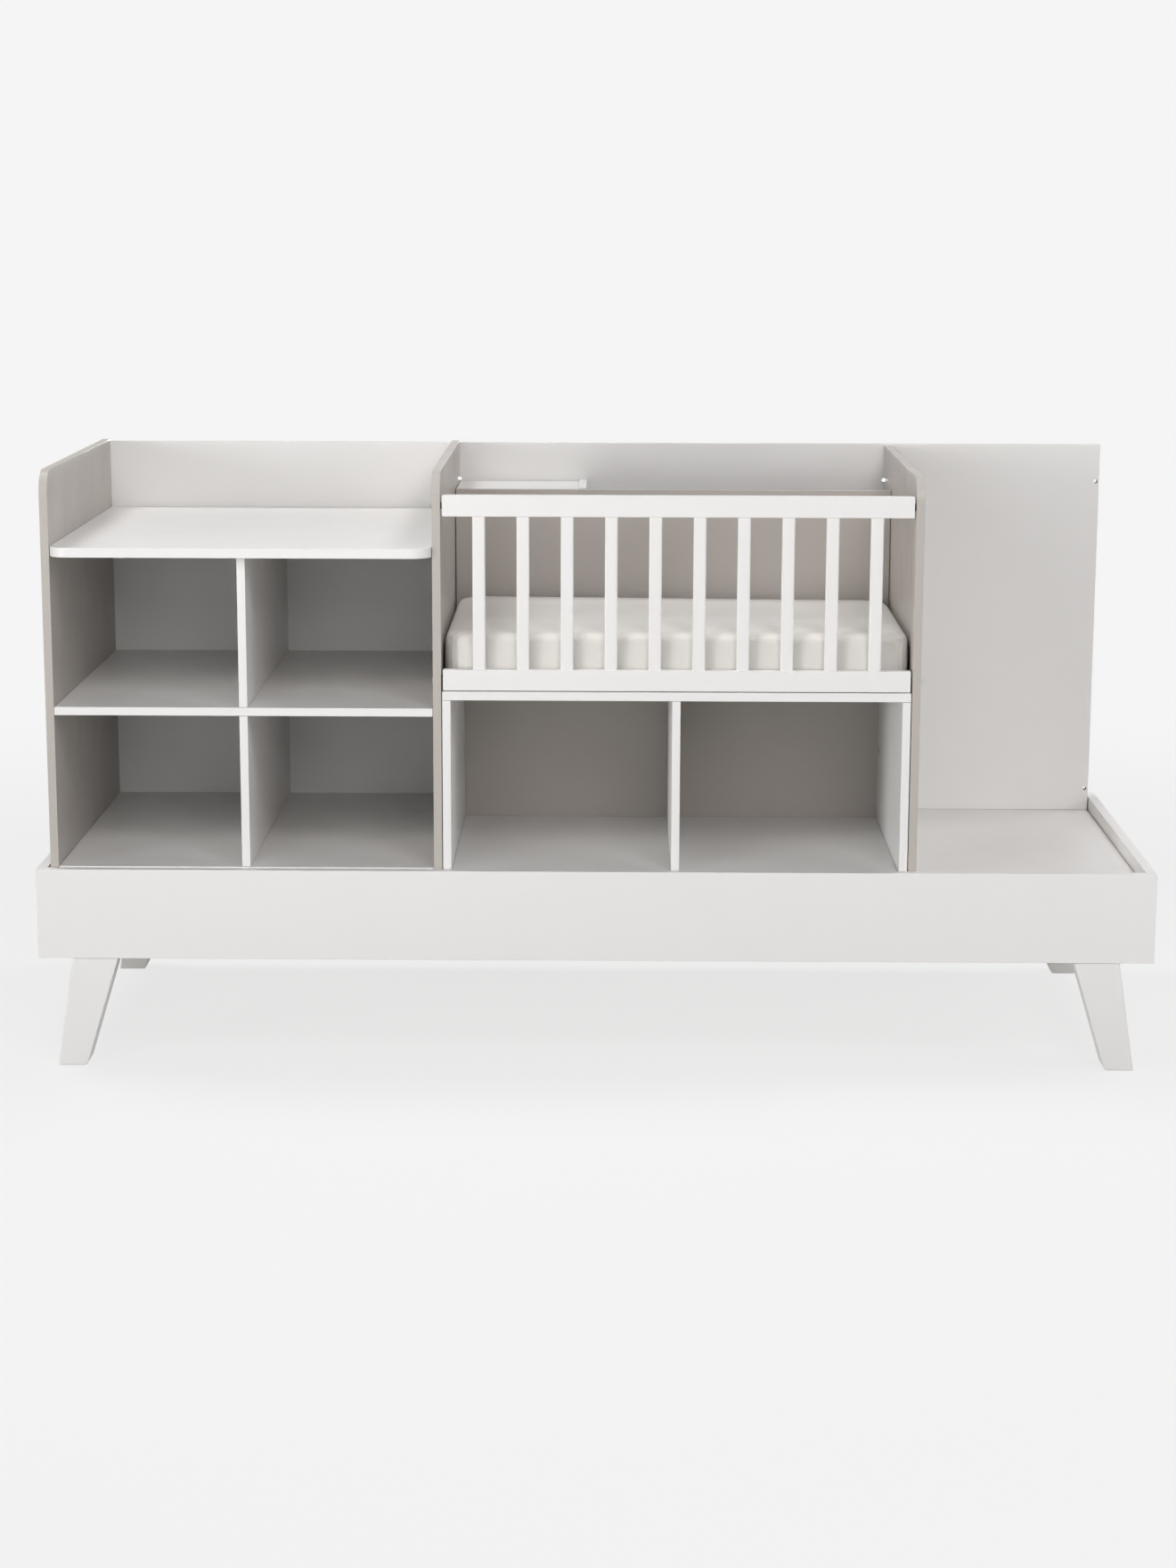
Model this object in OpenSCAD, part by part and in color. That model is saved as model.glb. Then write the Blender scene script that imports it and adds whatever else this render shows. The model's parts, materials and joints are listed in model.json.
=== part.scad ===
// Convertible nursery furniture: a low bed base on splayed legs carries a
// changing unit with open cubbies on the left, a small slatted crib on a
// two-cubby unit in the middle, and an open bay with a tall back on the right.
// Millimetres, Z up, the front faces -Y. Origin: floor level, mid width, mid depth.

/* [Bed base] */
// Overall width of the bed base
bed_w = 1960; // [1900:10:2100]
// Depth of the bed base, front face to back face
bed_d = 784; // [740:2:860]
// Thickness of the four bed boards
bed_board_t = 18; // [16:1:24]
// Height of the four bed boards
bed_board_h = 160; // [140:5:200]
// How far the platform lies below the top of the bed boards
platform_drop = 25; // [15:1:40]
// Thickness of the platform panels
platform_t = 15; // [12:1:20]
// Thickness of the slats under the platform
base_slat_t = 18; // [14:1:22]
// Width of the slats under the platform
base_slat_w = 80; // [50:5:110]
// Number of slats under the platform
base_slat_n = 11; // [7:1:13]
// Side of the square ledger battens that carry the slats
ledger_s = 28; // [20:1:34]
// Width of the corner blocks above the legs
block_w = 132; // [125:1:160]
// Depth of the corner blocks above the legs
block_d = 45; // [42:1:60]
// Gap round the platform panels and the rear panels
panel_gap = 1.5; // [0.5:0.5:3]

/* [Legs] */
// Height of a leg without its glide
leg_h = 195; // [150:5:240]
// Width of a leg at its top
leg_top_w = 80; // [70:1:95]
// Width of a leg at its foot
leg_foot_w = 54; // [40:1:65]
// Distance from the bed's end to the top of a leg
leg_top_inset = 60; // [50:1:70]
// Distance from the bed's end to the foot of a leg
leg_foot_inset = 29; // [15:1:45]
// Thickness of a leg, front to back
leg_t = 55; // [45:1:58]
// How far a leg stands back from the bed's front or back face
leg_set_back = 3; // [0:1:5]
// Height of the cut at the foot's inner corner
foot_cut_h = 8; // [4:1:14]
// Width of the cut at the foot's inner corner
foot_cut_w = 5; // [3:1:10]
// Thickness of the felt glide under a leg
glide_t = 2; // [1:0.5:4]
// Diameter of the felt glide
glide_d = 30; // [20:1:36]
// Diameter of the threaded stud in a leg's top
stud_d = 8; // [6:1:10]
// Length of the threaded stud in a leg's top
stud_l = 80; // [50:5:100]
// Length of the screws through an end board into the corner blocks
end_screw_l = 70; // [50:5:80]

/* [Upright panels] */
// Thickness of the upright panels and shelves
panel_t = 15; // [13:1:18]
// Height of the changing unit's side panels
side_h = 717; // [700:1:760]
// Radius of a side panel's upper front corner
side_corner_r = 40; // [20:1:60]
// Gap between the bed's front board and the side panels
front_gap = 2; // [1:0.5:5]
// Gap between the bed's end board and the left side panel
end_gap = 5; // [2:1:10]
// Step from the side panels' tops down to the rear panels' tops
rear_drop = 4; // [0:0.5:10]
// Thickness of the rail behind the rear panels' feet
rear_rail_t = 18; // [14:1:24]
// Diameter of the spare holes near the rear panels' upright edges
rear_hole_d = 8; // [6:0.5:10]
// Distance from a rear panel's edge to a spare hole's centre
rear_hole_inset = 7; // [7:0.5:12]
// Height of the lower spare hole above the platform
rear_hole_low = 43; // [35:1:60]
// Distance between the lower and the upper spare hole
rear_hole_pitch = 600; // [560:5:620]

/* [Changer] */
// Outer width of the changing unit
changer_w = 688; // [640:1:720]
// Height of the changing surface above the platform
changing_h = 588; // [570:1:600]
// Thickness of the changing top
changing_t = 17; // [15:1:20]
// How far the changing top stands out past the bed's front face
top_reach = 7; // [2:1:20]
// Plan radius of the changing top's front corners
top_corner_r = 35; // [15:1:60]
// Height of the middle shelf's upper face above the platform
mid_shelf_h = 309; // [280:1:340]
// Gap under the changing unit's base panel
changer_base_lift = 12; // [5:1:20]

/* [Crib unit] */
// Clear width between the crib's side panels
crib_w = 815; // [780:1:850]
// Depth of the crib from the barrier's front face to the crib back
crib_d = 520; // [480:1:550]
// Gap between the lower unit and a side panel
unit_gap = 1; // [0.5:0.5:4]
// Height of the lower unit's top face above the platform
unit_h = 339; // [310:1:360]
// Thickness of the lower unit's top board
unit_top_t = 16; // [14:1:20]
// Gap under the lower unit's base panel
unit_base_lift = 5; // [3:1:12]
// Height of the crib back above the platform
crib_back_h = 641; // [610:1:670]
// Step from the changing unit's side tops down to the top of the crib's own side
crib_side_drop = 7; // [0:0.5:15]

/* [Barrier] */
// Height of the slatted barrier
barrier_h = 338; // [310:1:345]
// Gap under the barrier
barrier_lift = 1; // [0.5:0.5:5]
// Gap between a barrier rail's end and a side panel
barrier_gap = 2.5; // [1.5:0.5:4]
// Height of a barrier rail
rail_h = 37; // [30:1:45]
// Thickness of a barrier rail
rail_t = 18; // [16:1:22]
// Corner radius of a barrier rail, seen from the front
rail_r = 2; // [1:0.5:8]
// Number of barrier slats
slat_n = 10; // [8:1:11]
// Distance between the centres of two barrier slats
slat_pitch = 76; // [68:1:76]
// Width of a barrier slat
slat_w = 22; // [16:1:28]
// Thickness of a barrier slat
slat_t = 13; // [9:1:14]
// Corner radius of a barrier slat
slat_r = 3; // [1:0.5:4]
// Length of the tenon at each end of a barrier slat
tenon_l = 10; // [6:1:14]

/* [Mattress] */
// Gap all round the mattress
mattress_gap = 3; // [2:0.5:8]
// Gap under the mattress
mattress_rest_gap = 0.3; // [0.2:0.1:1]
// Height of the mattress at the middle of its crown
mattress_h = 105; // [80:1:125]
// Rise of the crown above the top edge
mattress_crown = 8; // [2:1:10]
// Plan radius of the mattress corners
mattress_corner_r = 46; // [40:1:80]
// Radius of the mattress's top edge
mattress_edge_r = 16; // [12:1:30]
// Radius of the mattress's bottom edge
mattress_foot_r = 8; // [4:1:12]
// How far the mattress sides draw in between the corners
mattress_draw = 1.5; // [0:0.5:4]

/* [Space behind the crib] */
// Width of the shelf behind the crib
rear_shelf_w = 230; // [180:5:300]
// Height of the shelf behind the crib above the platform
rear_shelf_h = 640; // [600:1:660]
// How far the upright beside the shelf stands above it
upright_rise = 3; // [0:1:8]
// Leg of the steel angle brackets
bracket_l = 30; // [24:1:36]
// Width of the steel brackets and joint plates
bracket_w = 20; // [14:1:26]
// Thickness of the steel brackets and joint plates
bracket_t = 2; // [1.5:0.5:3]
// Length of the joint plates across two rear panels
plate_l = 80; // [60:2:100]
// Distance from a rear panel's foot or top to a joint plate's middle
plate_inset = 140; // [100:5:200]

/* [Fixings] */
// Diameter of a cam lock
cam_d = 12; // [10:1:16]
// Depth of a cam lock
cam_h = 11; // [9:0.5:12]
// Distance from a joint's face to a cam lock's centre
cam_inset = 34; // [24:1:40]
// Height above the platform of the cam locks that hold the crib back
back_cam_h = 155; // [120:5:190]
// Diameter of a cam bolt
cam_bolt_d = 6; // [5:0.5:7]
// How deep cam bolts and dowels go into the panel beside the joint
joint_depth = 9; // [7:0.5:10]
// Diameter of a wooden dowel
dowel_d = 8; // [6:0.5:8]
// Length of a wooden dowel
dowel_l = 32; // [26:1:40]
// Distance from a cam lock to its dowel
dowel_step = 32; // [24:1:48]
// Distance from a board's front or back edge to its first fixing
fix_inset = 60; // [40:5:90]
// Diameter of a wood screw's shank
screw_d = 4; // [3:0.5:4.5]
// Diameter of a wood screw's head
screw_head_d = 8; // [7:0.5:9]
// Length of the screws into a panel's edge
edge_screw_l = 45; // [35:5:60]
// Diameter of a barrier bolt's shank
bolt_d = 6; // [5:0.5:7]
// Length of a barrier bolt's shank
bolt_l = 55; // [48:1:65]
// Diameter of a barrier bolt's domed head
bolt_head_d = 12; // [10:0.5:16]
// Height of a barrier bolt's domed head
bolt_head_h = 3; // [2:0.5:4]
// Diameter of a cross dowel nut in a rail
nut_d = 10; // [9:0.5:12]
// Length of a cross dowel nut in a rail
nut_l = 13; // [11:1:14]
// Clearance round every fixing
fit_gap = 0.15; // [0.1:0.05:0.2]

/* [Hidden] */

white = "#EBEAE8";
greige = "#B9B3AC";
pine = "#DDC29A";
steel = "#B9BBBE";
fabric = "#CFCBC6";
$fn = 32;

// Bed base: places of its faces
x_out = bed_w / 2;
x_in = x_out - bed_board_t;
y_front = (top_reach - bed_d) / 2;
y_back = y_front + bed_d;
y_in0 = y_front + bed_board_t;
y_in1 = y_back - bed_board_t;
z_bed = glide_t + leg_h;
z_bed_top = z_bed + bed_board_h;
z_plat = z_bed_top - platform_drop;
z_slat = z_plat - platform_t;
z_ledge = z_slat - base_slat_t;
z_block = z_ledge - ledger_s;

// Upright panels
y_mod = y_in0 + front_gap;
y_rear = y_in1 - rear_rail_t - panel_t;
y_rear_back = y_rear + panel_t;
x_left0 = -x_in + end_gap;
x_left1 = x_left0 + panel_t;
x_mid1 = x_left0 + changer_w;
x_mid0 = x_mid1 - panel_t;
x_right0 = x_mid1 + crib_w;
x_right1 = x_right0 + panel_t;
x_joint1 = (x_mid0 + x_mid1) / 2;
x_joint2 = (x_right0 + x_right1) / 2;

// Changing unit
z_changing = z_plat + changing_h;
z_changing0 = z_changing - changing_t;
z_shelf = z_plat + mid_shelf_h;
z_shelf0 = z_shelf - panel_t;
z_cbase0 = z_plat + changer_base_lift;
z_cbase = z_cbase0 + panel_t;
x_divider = (x_left1 + x_mid0 - panel_t) / 2;

// Lower unit and crib
x_unit0 = x_mid1 + unit_gap;
x_unit1 = x_right0 - unit_gap;
y_crib = y_mod + crib_d;
y_crib_back = y_crib + panel_t;
z_unit = z_plat + unit_h;
z_unit0 = z_unit - unit_top_t;
z_ubase0 = z_plat + unit_base_lift;
z_ubase = z_ubase0 + panel_t;
x_unit_mid = (x_unit0 + x_unit1 - panel_t) / 2;

// Rear panels and the crib's own side panel
rear_h = side_h - rear_drop;
crib_side_h = side_h - crib_side_drop;

// Barrier
x_bar0 = x_mid1 + barrier_gap;
x_bar1 = x_right0 - barrier_gap;
z_bar = z_unit + barrier_lift;
z_bar_top = z_bar + barrier_h;
y_bar_mid = y_mod + rail_t / 2;
rail_zs = [z_bar, z_bar_top - rail_h];
slat_span = (slat_n - 1) * slat_pitch;
slat_xs = [for (i = [0 : slat_n - 1]) (x_bar0 + x_bar1 - slat_span) / 2 + i * slat_pitch];

// Shelf and upright behind the crib
x_rshelf0 = x_mid1 + unit_gap;
x_rshelf1 = x_mid1 + rear_shelf_w;
z_rshelf = z_plat + rear_shelf_h;
bracket_zs = spread(2, z_plat, z_plat + crib_side_h);

// Share of a board's thickness that a screw's tip reaches into
bite = 0.6;

// Evenly spread places between two ends, half a step clear of each end
function spread(n, low, high) = [for (i = [0 : n - 1]) low + (high - low) * (i + 0.5) / n];

// A box between two corners
module slab(low, high)
    translate(low)
        cube(high - low);

// A round bar from a point along one axis: "x", "y" or "z"
module bar(start, axis, radius, length)
    translate(start)
        rotate(axis == "x" ? [0, 90, 0] : axis == "y" ? [-90, 0, 0] : [0, 0, 0])
            cylinder(r = radius, h = length);

// A countersunk wood screw, head at the start, that runs along +Z of its frame
module screw_shape(length, grow) {
    head = (screw_head_d - screw_d) / 2;
    cylinder(r = screw_d / 2 + grow, h = length + grow);
    cylinder(r1 = screw_head_d / 2 + grow, r2 = screw_d / 2 + grow, h = head);
}

// The same screw at a place, pointing along an axis or against it
module screw(start, turn, length, grow = 0)
    translate(start)
        rotate(turn)
            screw_shape(length, grow);

to_x = [0, 90, 0];
to_minus_x = [0, -90, 0];
to_y = [-90, 0, 0];
to_minus_y = [90, 0, 0];
to_minus_z = [180, 0, 0];

// A rectangle with round corners at its front, drawn from its front left corner
module front_round(w, d, r) {
    translate([r, 0])
        square([w - 2 * r, d]);
    translate([0, r])
        square([w, d - r]);
    for (x = [r, w - r])
        translate([x, r])
            circle(r);
}

// A rectangle with all four corners round, centred
module round_rect(w, d, r) {
    square([w - 2 * r, d], center = true);
    square([w, d - 2 * r], center = true);
    for (x = [-1, 1], y = [-1, 1])
        translate([x * (w / 2 - r), y * (d / 2 - r)])
            circle(r);
}

// ---- Bed base ----

corner_signs = [[-1, -1], [1, -1], [-1, 1], [1, 1]];
function block_y(s) = s < 0 ? y_in0 : y_in1 - block_d;
function leg_y(s) = s < 0 ? y_front + leg_set_back : y_back - leg_set_back - leg_t;
stud_x = x_out - leg_top_inset - leg_top_w / 2;
stud_z = z_bed - stud_l / 2;
end_screw_zs = spread(2, z_bed, z_block);
corner_screw_l = block_d + bite * bed_board_t;
corner_screw_z = (z_bed + z_block) / 2;
corner_screw_xs = [stud_x - block_w / 4, stud_x + block_w / 4];
ledger_screw_l = ledger_s + bite * bed_board_t;
long_screw_xs = spread(5, -x_in, x_in);
base_slat_pitch = (2 * x_in - base_slat_w) / (base_slat_n - 1);
base_slat_xs = [for (i = [0 : base_slat_n - 1])
    -x_in + base_slat_w / 2 + i * base_slat_pitch];

// Screws through the end boards into the corner blocks
module end_screw_set(grow = 0)
    for (s = corner_signs, z = end_screw_zs)
        screw([s[0] * x_out, block_y(s[1]) + block_d / 2, z],
            s[0] < 0 ? to_x : to_minus_x, end_screw_l, grow);

// Screws through the corner blocks into the front and rear boards
module corner_screw_set(grow = 0)
    for (s = corner_signs, x = corner_screw_xs)
        screw([s[0] * x, s[1] < 0 ? y_in0 + block_d : y_in1 - block_d, corner_screw_z],
            s[1] < 0 ? to_minus_y : to_y, corner_screw_l, grow);

// Screws through the ledgers into the front and rear boards
module ledger_screw_set(grow = 0)
    for (s = [-1, 1], x = long_screw_xs)
        screw([x, s < 0 ? y_in0 + ledger_s : y_in1 - ledger_s, z_ledge - ledger_s / 2],
            s < 0 ? to_minus_y : to_y, ledger_screw_l, grow);

// Threaded studs that join the legs to the corner blocks
module stud_set(grow = 0)
    for (s = corner_signs)
        bar([s[0] * stud_x, leg_y(s[1]) + leg_t / 2, stud_z - grow], "z",
            stud_d / 2 + grow, stud_l + 2 * grow);

// A long bed board with its screw holes; s is -1 at the front, 1 at the back
module long_board(s)
    color(white)
        difference() {
            slab([-x_out, s < 0 ? y_front : y_in1, z_bed],
                [x_out, s < 0 ? y_in0 : y_back, z_bed_top]);
            corner_screw_set(fit_gap);
            ledger_screw_set(fit_gap);
            if (s > 0)
                rail_screw_set(fit_gap);
        }

// A short bed board with its screw holes; s is -1 at the left, 1 at the right
module end_board(s)
    color(white)
        difference() {
            slab([s < 0 ? -x_out : x_in, y_in0, z_bed],
                [s < 0 ? -x_in : x_out, y_in1, z_bed_top]);
            end_screw_set(fit_gap);
        }

module bed_front_board() long_board(-1);
module bed_rear_board() long_board(1);
module bed_left_end() end_board(-1);
module bed_right_end() end_board(1);

// A splayed, tapered leg; sx and sy say which corner it stands at
module leg(sx, sy)
    color(white)
        difference() {
            translate([0, leg_y(sy) + leg_t, 0])
                rotate([90, 0, 0])
                    linear_extrude(leg_t)
                        scale([sx, 1])
                            polygon([
                                [x_out - leg_top_inset - leg_top_w, z_bed],
                                [x_out - leg_top_inset, z_bed],
                                [x_out - leg_foot_inset, glide_t],
                                [x_out - leg_foot_inset - leg_foot_w + foot_cut_w, glide_t],
                                [x_out - leg_foot_inset - leg_foot_w, glide_t + foot_cut_h]]);
            stud_set(fit_gap);
        }

module leg_front_left() leg(-1, -1);
module leg_front_right() leg(1, -1);
module leg_rear_left() leg(-1, 1);
module leg_rear_right() leg(1, 1);

module leg_glides()
    color("#6E6A66")
        for (s = corner_signs)
            bar([s[0] * (x_out - leg_foot_inset - (leg_foot_w - foot_cut_w) / 2),
                leg_y(s[1]) + leg_t / 2, 0], "z", glide_d / 2, glide_t);

module leg_studs()
    color(steel)
        stud_set();

module corner_blocks()
    color(pine)
        for (s = corner_signs)
            difference() {
                slab([s[0] < 0 ? -x_in : x_in - block_w, block_y(s[1]), z_bed],
                    [s[0] < 0 ? block_w - x_in : x_in, block_y(s[1]) + block_d, z_block]);
                stud_set(fit_gap);
                corner_screw_set(fit_gap);
                end_screw_set(fit_gap);
            }

module corner_screws()
    color(steel)
        corner_screw_set();

module end_screws()
    color(steel)
        end_screw_set();

module ledger(s)
    color(pine)
        difference() {
            slab([-x_in, s < 0 ? y_in0 : y_in1 - ledger_s, z_block],
                [x_in, s < 0 ? y_in0 + ledger_s : y_in1, z_ledge]);
            ledger_screw_set(fit_gap);
        }

module ledger_front() ledger(-1);
module ledger_rear() ledger(1);

module ledger_screws()
    color(steel)
        ledger_screw_set();

module base_slats()
    color(pine)
        for (x = base_slat_xs)
            slab([x - base_slat_w / 2, y_in0, z_ledge],
                [x + base_slat_w / 2, y_in1, z_slat]);

module platform(x0, x1)
    color(white)
        slab([x0, y_in0 + panel_gap, z_slat], [x1, y_in1 - panel_gap, z_plat]);

module platform_left() platform(-x_in + panel_gap, x_joint1 - panel_gap / 2);
module platform_middle() platform(x_joint1 + panel_gap / 2, x_joint2 - panel_gap / 2);
module platform_right() platform(x_joint2 + panel_gap / 2, x_in - panel_gap);

// ---- Rear panels ----

rail_screw_l = bed_board_t + rear_rail_t + bite * panel_t;
rail_screw_z = (z_plat + z_bed_top) / 2;
plate_zs = [z_plat + plate_inset, z_plat + rear_h - plate_inset];
thin_screw_l = bracket_t + bite * panel_t;
plate_screw_xs = spread(4, -plate_l / 2, plate_l / 2);
changer_fix_zs = [(z_changing0 + z_changing) / 2, z_shelf - panel_t / 2, z_cbase - panel_t / 2];
changer_fix_xs = spread(2, x_left1, x_mid0);
side_fix_zs = spread(3, z_plat, z_plat + side_h);
rear_shelf_fix_xs = spread(2, x_rshelf0, x_rshelf1);

// Screws through the rear board and the rail into the rear panels
module rail_screw_set(grow = 0)
    for (x = long_screw_xs)
        screw([x, y_back, rail_screw_z], to_minus_y, rail_screw_l, grow);

// Screws from behind into the shelves, the left side panel and the rear upright
module panel_screw_set(grow = 0) {
    for (x = changer_fix_xs, z = changer_fix_zs)
        screw([x, y_rear_back, z], to_minus_y, edge_screw_l, grow);
    for (z = side_fix_zs)
        screw([x_left0 + panel_t / 2, y_rear_back, z], to_minus_y, edge_screw_l, grow);
    for (z = bracket_zs)
        screw([x_rshelf1 + panel_t / 2, y_rear_back, z], to_minus_y, edge_screw_l, grow);
    for (x = rear_shelf_fix_xs)
        screw([x, y_rear_back, z_rshelf - panel_t / 2], to_minus_y, edge_screw_l, grow);
}

// Screws that hold the joint plates across two rear panels
module plate_screw_set(grow = 0)
    for (x = [x_joint1, x_joint2], z = plate_zs, dx = plate_screw_xs)
        screw([x + dx, y_rear_back + bracket_t, z], to_minus_y, thin_screw_l, grow);

// A rear panel with spare holes near its upright edges
module rear_panel(x0, x1)
    color(white)
        difference() {
            slab([x0, y_rear, z_plat], [x1, y_rear_back, z_plat + rear_h]);
            for (x = [x0 + rear_hole_inset, x1 - rear_hole_inset], z = [0, rear_hole_pitch])
                bar([x, y_rear - 1, z_plat + rear_hole_low + z], "y", rear_hole_d / 2, panel_t + 2);
            rail_screw_set(fit_gap);
            panel_screw_set(fit_gap);
            plate_screw_set(fit_gap);
            bracket_screw_set(fit_gap);
        }

module rear_panel_left() rear_panel(-x_in + panel_gap, x_joint1);
module rear_panel_middle() rear_panel(x_joint1, x_joint2);
module rear_panel_right() rear_panel(x_joint2, x_in - panel_gap);

module rear_rail()
    color(white)
        difference() {
            slab([-x_in, y_rear_back, z_plat], [x_in, y_in1, z_bed_top]);
            rail_screw_set(fit_gap);
        }

module rear_rail_screws()
    color(steel)
        rail_screw_set();

module joint_plates()
    color(steel)
        for (x = [x_joint1, x_joint2], z = plate_zs)
            difference() {
                slab([x - plate_l / 2, y_rear_back, z - bracket_w / 2],
                    [x + plate_l / 2, y_rear_back + bracket_t, z + bracket_w / 2]);
                plate_screw_set(fit_gap);
            }

module joint_plate_screws()
    color(steel)
        plate_screw_set();

module rear_panel_screws()
    color(steel)
        panel_screw_set();

// ---- Changing unit ----

fix_ys = [y_mod + fix_inset, y_rear - fix_inset];
dowel_ys = [fix_ys[0] + dowel_step, fix_ys[1] - dowel_step];
// Each entry: the joint's face, the way its shelf lies, the shelf's underside and its thickness
shelf_ends = [for (x = [[x_left1, 1], [x_mid0, -1]],
        z = [[z_changing0, changing_t], [z_shelf0, panel_t], [z_cbase0, panel_t]])
    [x[0], x[1], z[0], z[1]]];

// Cam locks in the undersides of shelves
module cam_set(ends, ys, grow = 0)
    for (e = ends, y = ys)
        bar([e[0] + e[1] * cam_inset, y, e[2]], "z", cam_d / 2 + grow, cam_h + grow);

// Cam bolts from the side panels to the cam locks
module cam_bolt_set(ends, ys, grow = 0) {
    reach = cam_inset - cam_d / 2 - fit_gap;
    for (e = ends, y = ys)
        bar([e[1] > 0 ? e[0] - joint_depth - grow : e[0] - reach - grow, y, e[2] + e[3] / 2],
            "x", cam_bolt_d / 2 + grow, joint_depth + reach + 2 * grow);
}

// Dowels beside the cam bolts
module dowel_set(ends, ys, grow = 0) {
    reach = dowel_l - joint_depth;
    for (e = ends, y = ys)
        bar([e[1] > 0 ? e[0] - joint_depth - grow : e[0] - reach - grow,
            y, e[2] + e[3] / 2],
            "x", dowel_d / 2 + grow, dowel_l + 2 * grow);
}

// Where each divider dowel starts, and its length; one runs through the middle shelf
divider_joints = [
    [z_changing0 + joint_depth - dowel_l, dowel_l],
    [z_shelf0 + joint_depth - dowel_l, panel_t + 2 * (dowel_l - joint_depth)],
    [z_cbase - joint_depth, dowel_l]];

// Dowels between the dividers and the shelves above and below them
module divider_dowel_set(grow = 0)
    for (j = divider_joints, y = fix_ys)
        bar([x_divider + panel_t / 2, y, j[0] - grow], "z", dowel_d / 2 + grow, j[1] + 2 * grow);

// Holes for every fixing of the changing unit
module changer_holes() {
    cam_set(shelf_ends, fix_ys, fit_gap);
    cam_bolt_set(shelf_ends, fix_ys, fit_gap);
    dowel_set(shelf_ends, dowel_ys, fit_gap);
    panel_screw_set(fit_gap);
}

// A side panel with a round upper front corner, its outer left face at x
module side_panel(x, height)
    translate([x, y_mod, z_plat])
        rotate([90, 0, 90])
            linear_extrude(panel_t)
                difference() {
                    square([y_rear - y_mod, height]);
                    translate([0, height - side_corner_r])
                        difference() {
                            translate([-1, 0])
                                square([side_corner_r + 1, side_corner_r + 1]);
                            translate([side_corner_r, 0])
                                circle(side_corner_r, $fn = 64);
                        }
                }

module changer_left_side()
    color(greige)
        difference() {
            side_panel(x_left0, side_h);
            changer_holes();
        }

module changer_right_side()
    color(greige)
        difference() {
            side_panel(x_mid0, side_h);
            changer_holes();
            bolt_set(fit_gap);
            bracket_screw_set(fit_gap);
        }

module changing_top()
    color(white)
        difference() {
            translate([x_left1, y_front - top_reach, z_changing0])
                linear_extrude(changing_t)
                    front_round(x_mid0 - x_left1, y_rear - y_front + top_reach, top_corner_r,
                        $fn = 64);
            changer_holes();
            divider_dowel_set(fit_gap);
        }

module changer_mid_shelf()
    color(white)
        difference() {
            slab([x_left1, y_mod, z_shelf0], [x_mid0, y_rear, z_shelf]);
            changer_holes();
            divider_dowel_set(fit_gap);
        }

module changer_base()
    color(white)
        difference() {
            slab([x_left1, y_mod, z_cbase0], [x_mid0, y_rear, z_cbase]);
            changer_holes();
            divider_dowel_set(fit_gap);
        }

module changer_divider(z0, z1)
    color(white)
        difference() {
            slab([x_divider, y_mod, z0], [x_divider + panel_t, y_rear, z1]);
            divider_dowel_set(fit_gap);
        }

module changer_upper_divider() changer_divider(z_shelf, z_changing0);
module changer_lower_divider() changer_divider(z_cbase, z_shelf0);

module changer_cams()
    color(steel)
        cam_set(shelf_ends, fix_ys);

module changer_cam_bolts()
    color(steel)
        cam_bolt_set(shelf_ends, fix_ys);

module changer_dowels()
    color(pine)
        dowel_set(shelf_ends, dowel_ys);

module divider_dowels()
    color(pine)
        divider_dowel_set();

// ---- Lower unit and crib ----

unit_ys = [y_mod + fix_inset, y_crib - fix_inset];
base_ends = [[x_unit0 + panel_t, 1, z_ubase0, panel_t], [x_unit1 - panel_t, -1, z_ubase0, panel_t]];
back_cam_z = z_plat + back_cam_h;
back_cam_y = y_crib - cam_inset;

// Cam locks in the unit sides' inner faces that hold the crib back
module back_cam_set(grow = 0) {
    bar([x_unit0 + panel_t - cam_h - grow, back_cam_y, back_cam_z], "x",
        cam_d / 2 + grow, cam_h + grow);
    bar([x_unit1 - panel_t, back_cam_y, back_cam_z], "x", cam_d / 2 + grow, cam_h + grow);
}

// Bolts from the crib back to those cam locks
module back_bolt_set(grow = 0) {
    start = back_cam_y + cam_d / 2 + fit_gap;
    for (x = [x_unit0 + panel_t / 2, x_unit1 - panel_t / 2])
        bar([x, start - grow, back_cam_z], "y", cam_bolt_d / 2 + grow,
            y_crib + joint_depth - start + 2 * grow);
}

// Screws through the unit top into the sides and the divider
module unit_screw_set(grow = 0)
    for (x = [x_unit0, x_unit_mid, x_unit1 - panel_t], y = unit_ys)
        screw([x + panel_t / 2, y, z_unit], to_minus_z, edge_screw_l, grow);

module unit_top()
    color(white)
        difference() {
            slab([x_unit0, y_mod, z_unit0], [x_unit1, y_crib, z_unit]);
            unit_screw_set(fit_gap);
        }

module unit_side(x)
    color(white)
        difference() {
            slab([x, y_mod, z_plat], [x + panel_t, y_crib, z_unit0]);
            cam_bolt_set(base_ends, unit_ys, fit_gap);
            back_cam_set(fit_gap);
            back_bolt_set(fit_gap);
            unit_screw_set(fit_gap);
        }

module unit_left_side() unit_side(x_unit0);
module unit_right_side() unit_side(x_unit1 - panel_t);

module unit_divider()
    color(white)
        difference() {
            slab([x_unit_mid, y_mod, z_ubase], [x_unit_mid + panel_t, y_crib, z_unit0]);
            unit_screw_set(fit_gap);
        }

module unit_base()
    color(white)
        difference() {
            slab([x_unit0 + panel_t, y_mod, z_ubase0], [x_unit1 - panel_t, y_crib, z_ubase]);
            cam_set(base_ends, unit_ys, fit_gap);
            cam_bolt_set(base_ends, unit_ys, fit_gap);
        }

module unit_cams()
    color(steel) {
        cam_set(base_ends, unit_ys);
        back_cam_set();
    }

module unit_cam_bolts()
    color(steel) {
        cam_bolt_set(base_ends, unit_ys);
        back_bolt_set();
    }

module unit_screws()
    color(steel)
        unit_screw_set();

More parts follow.
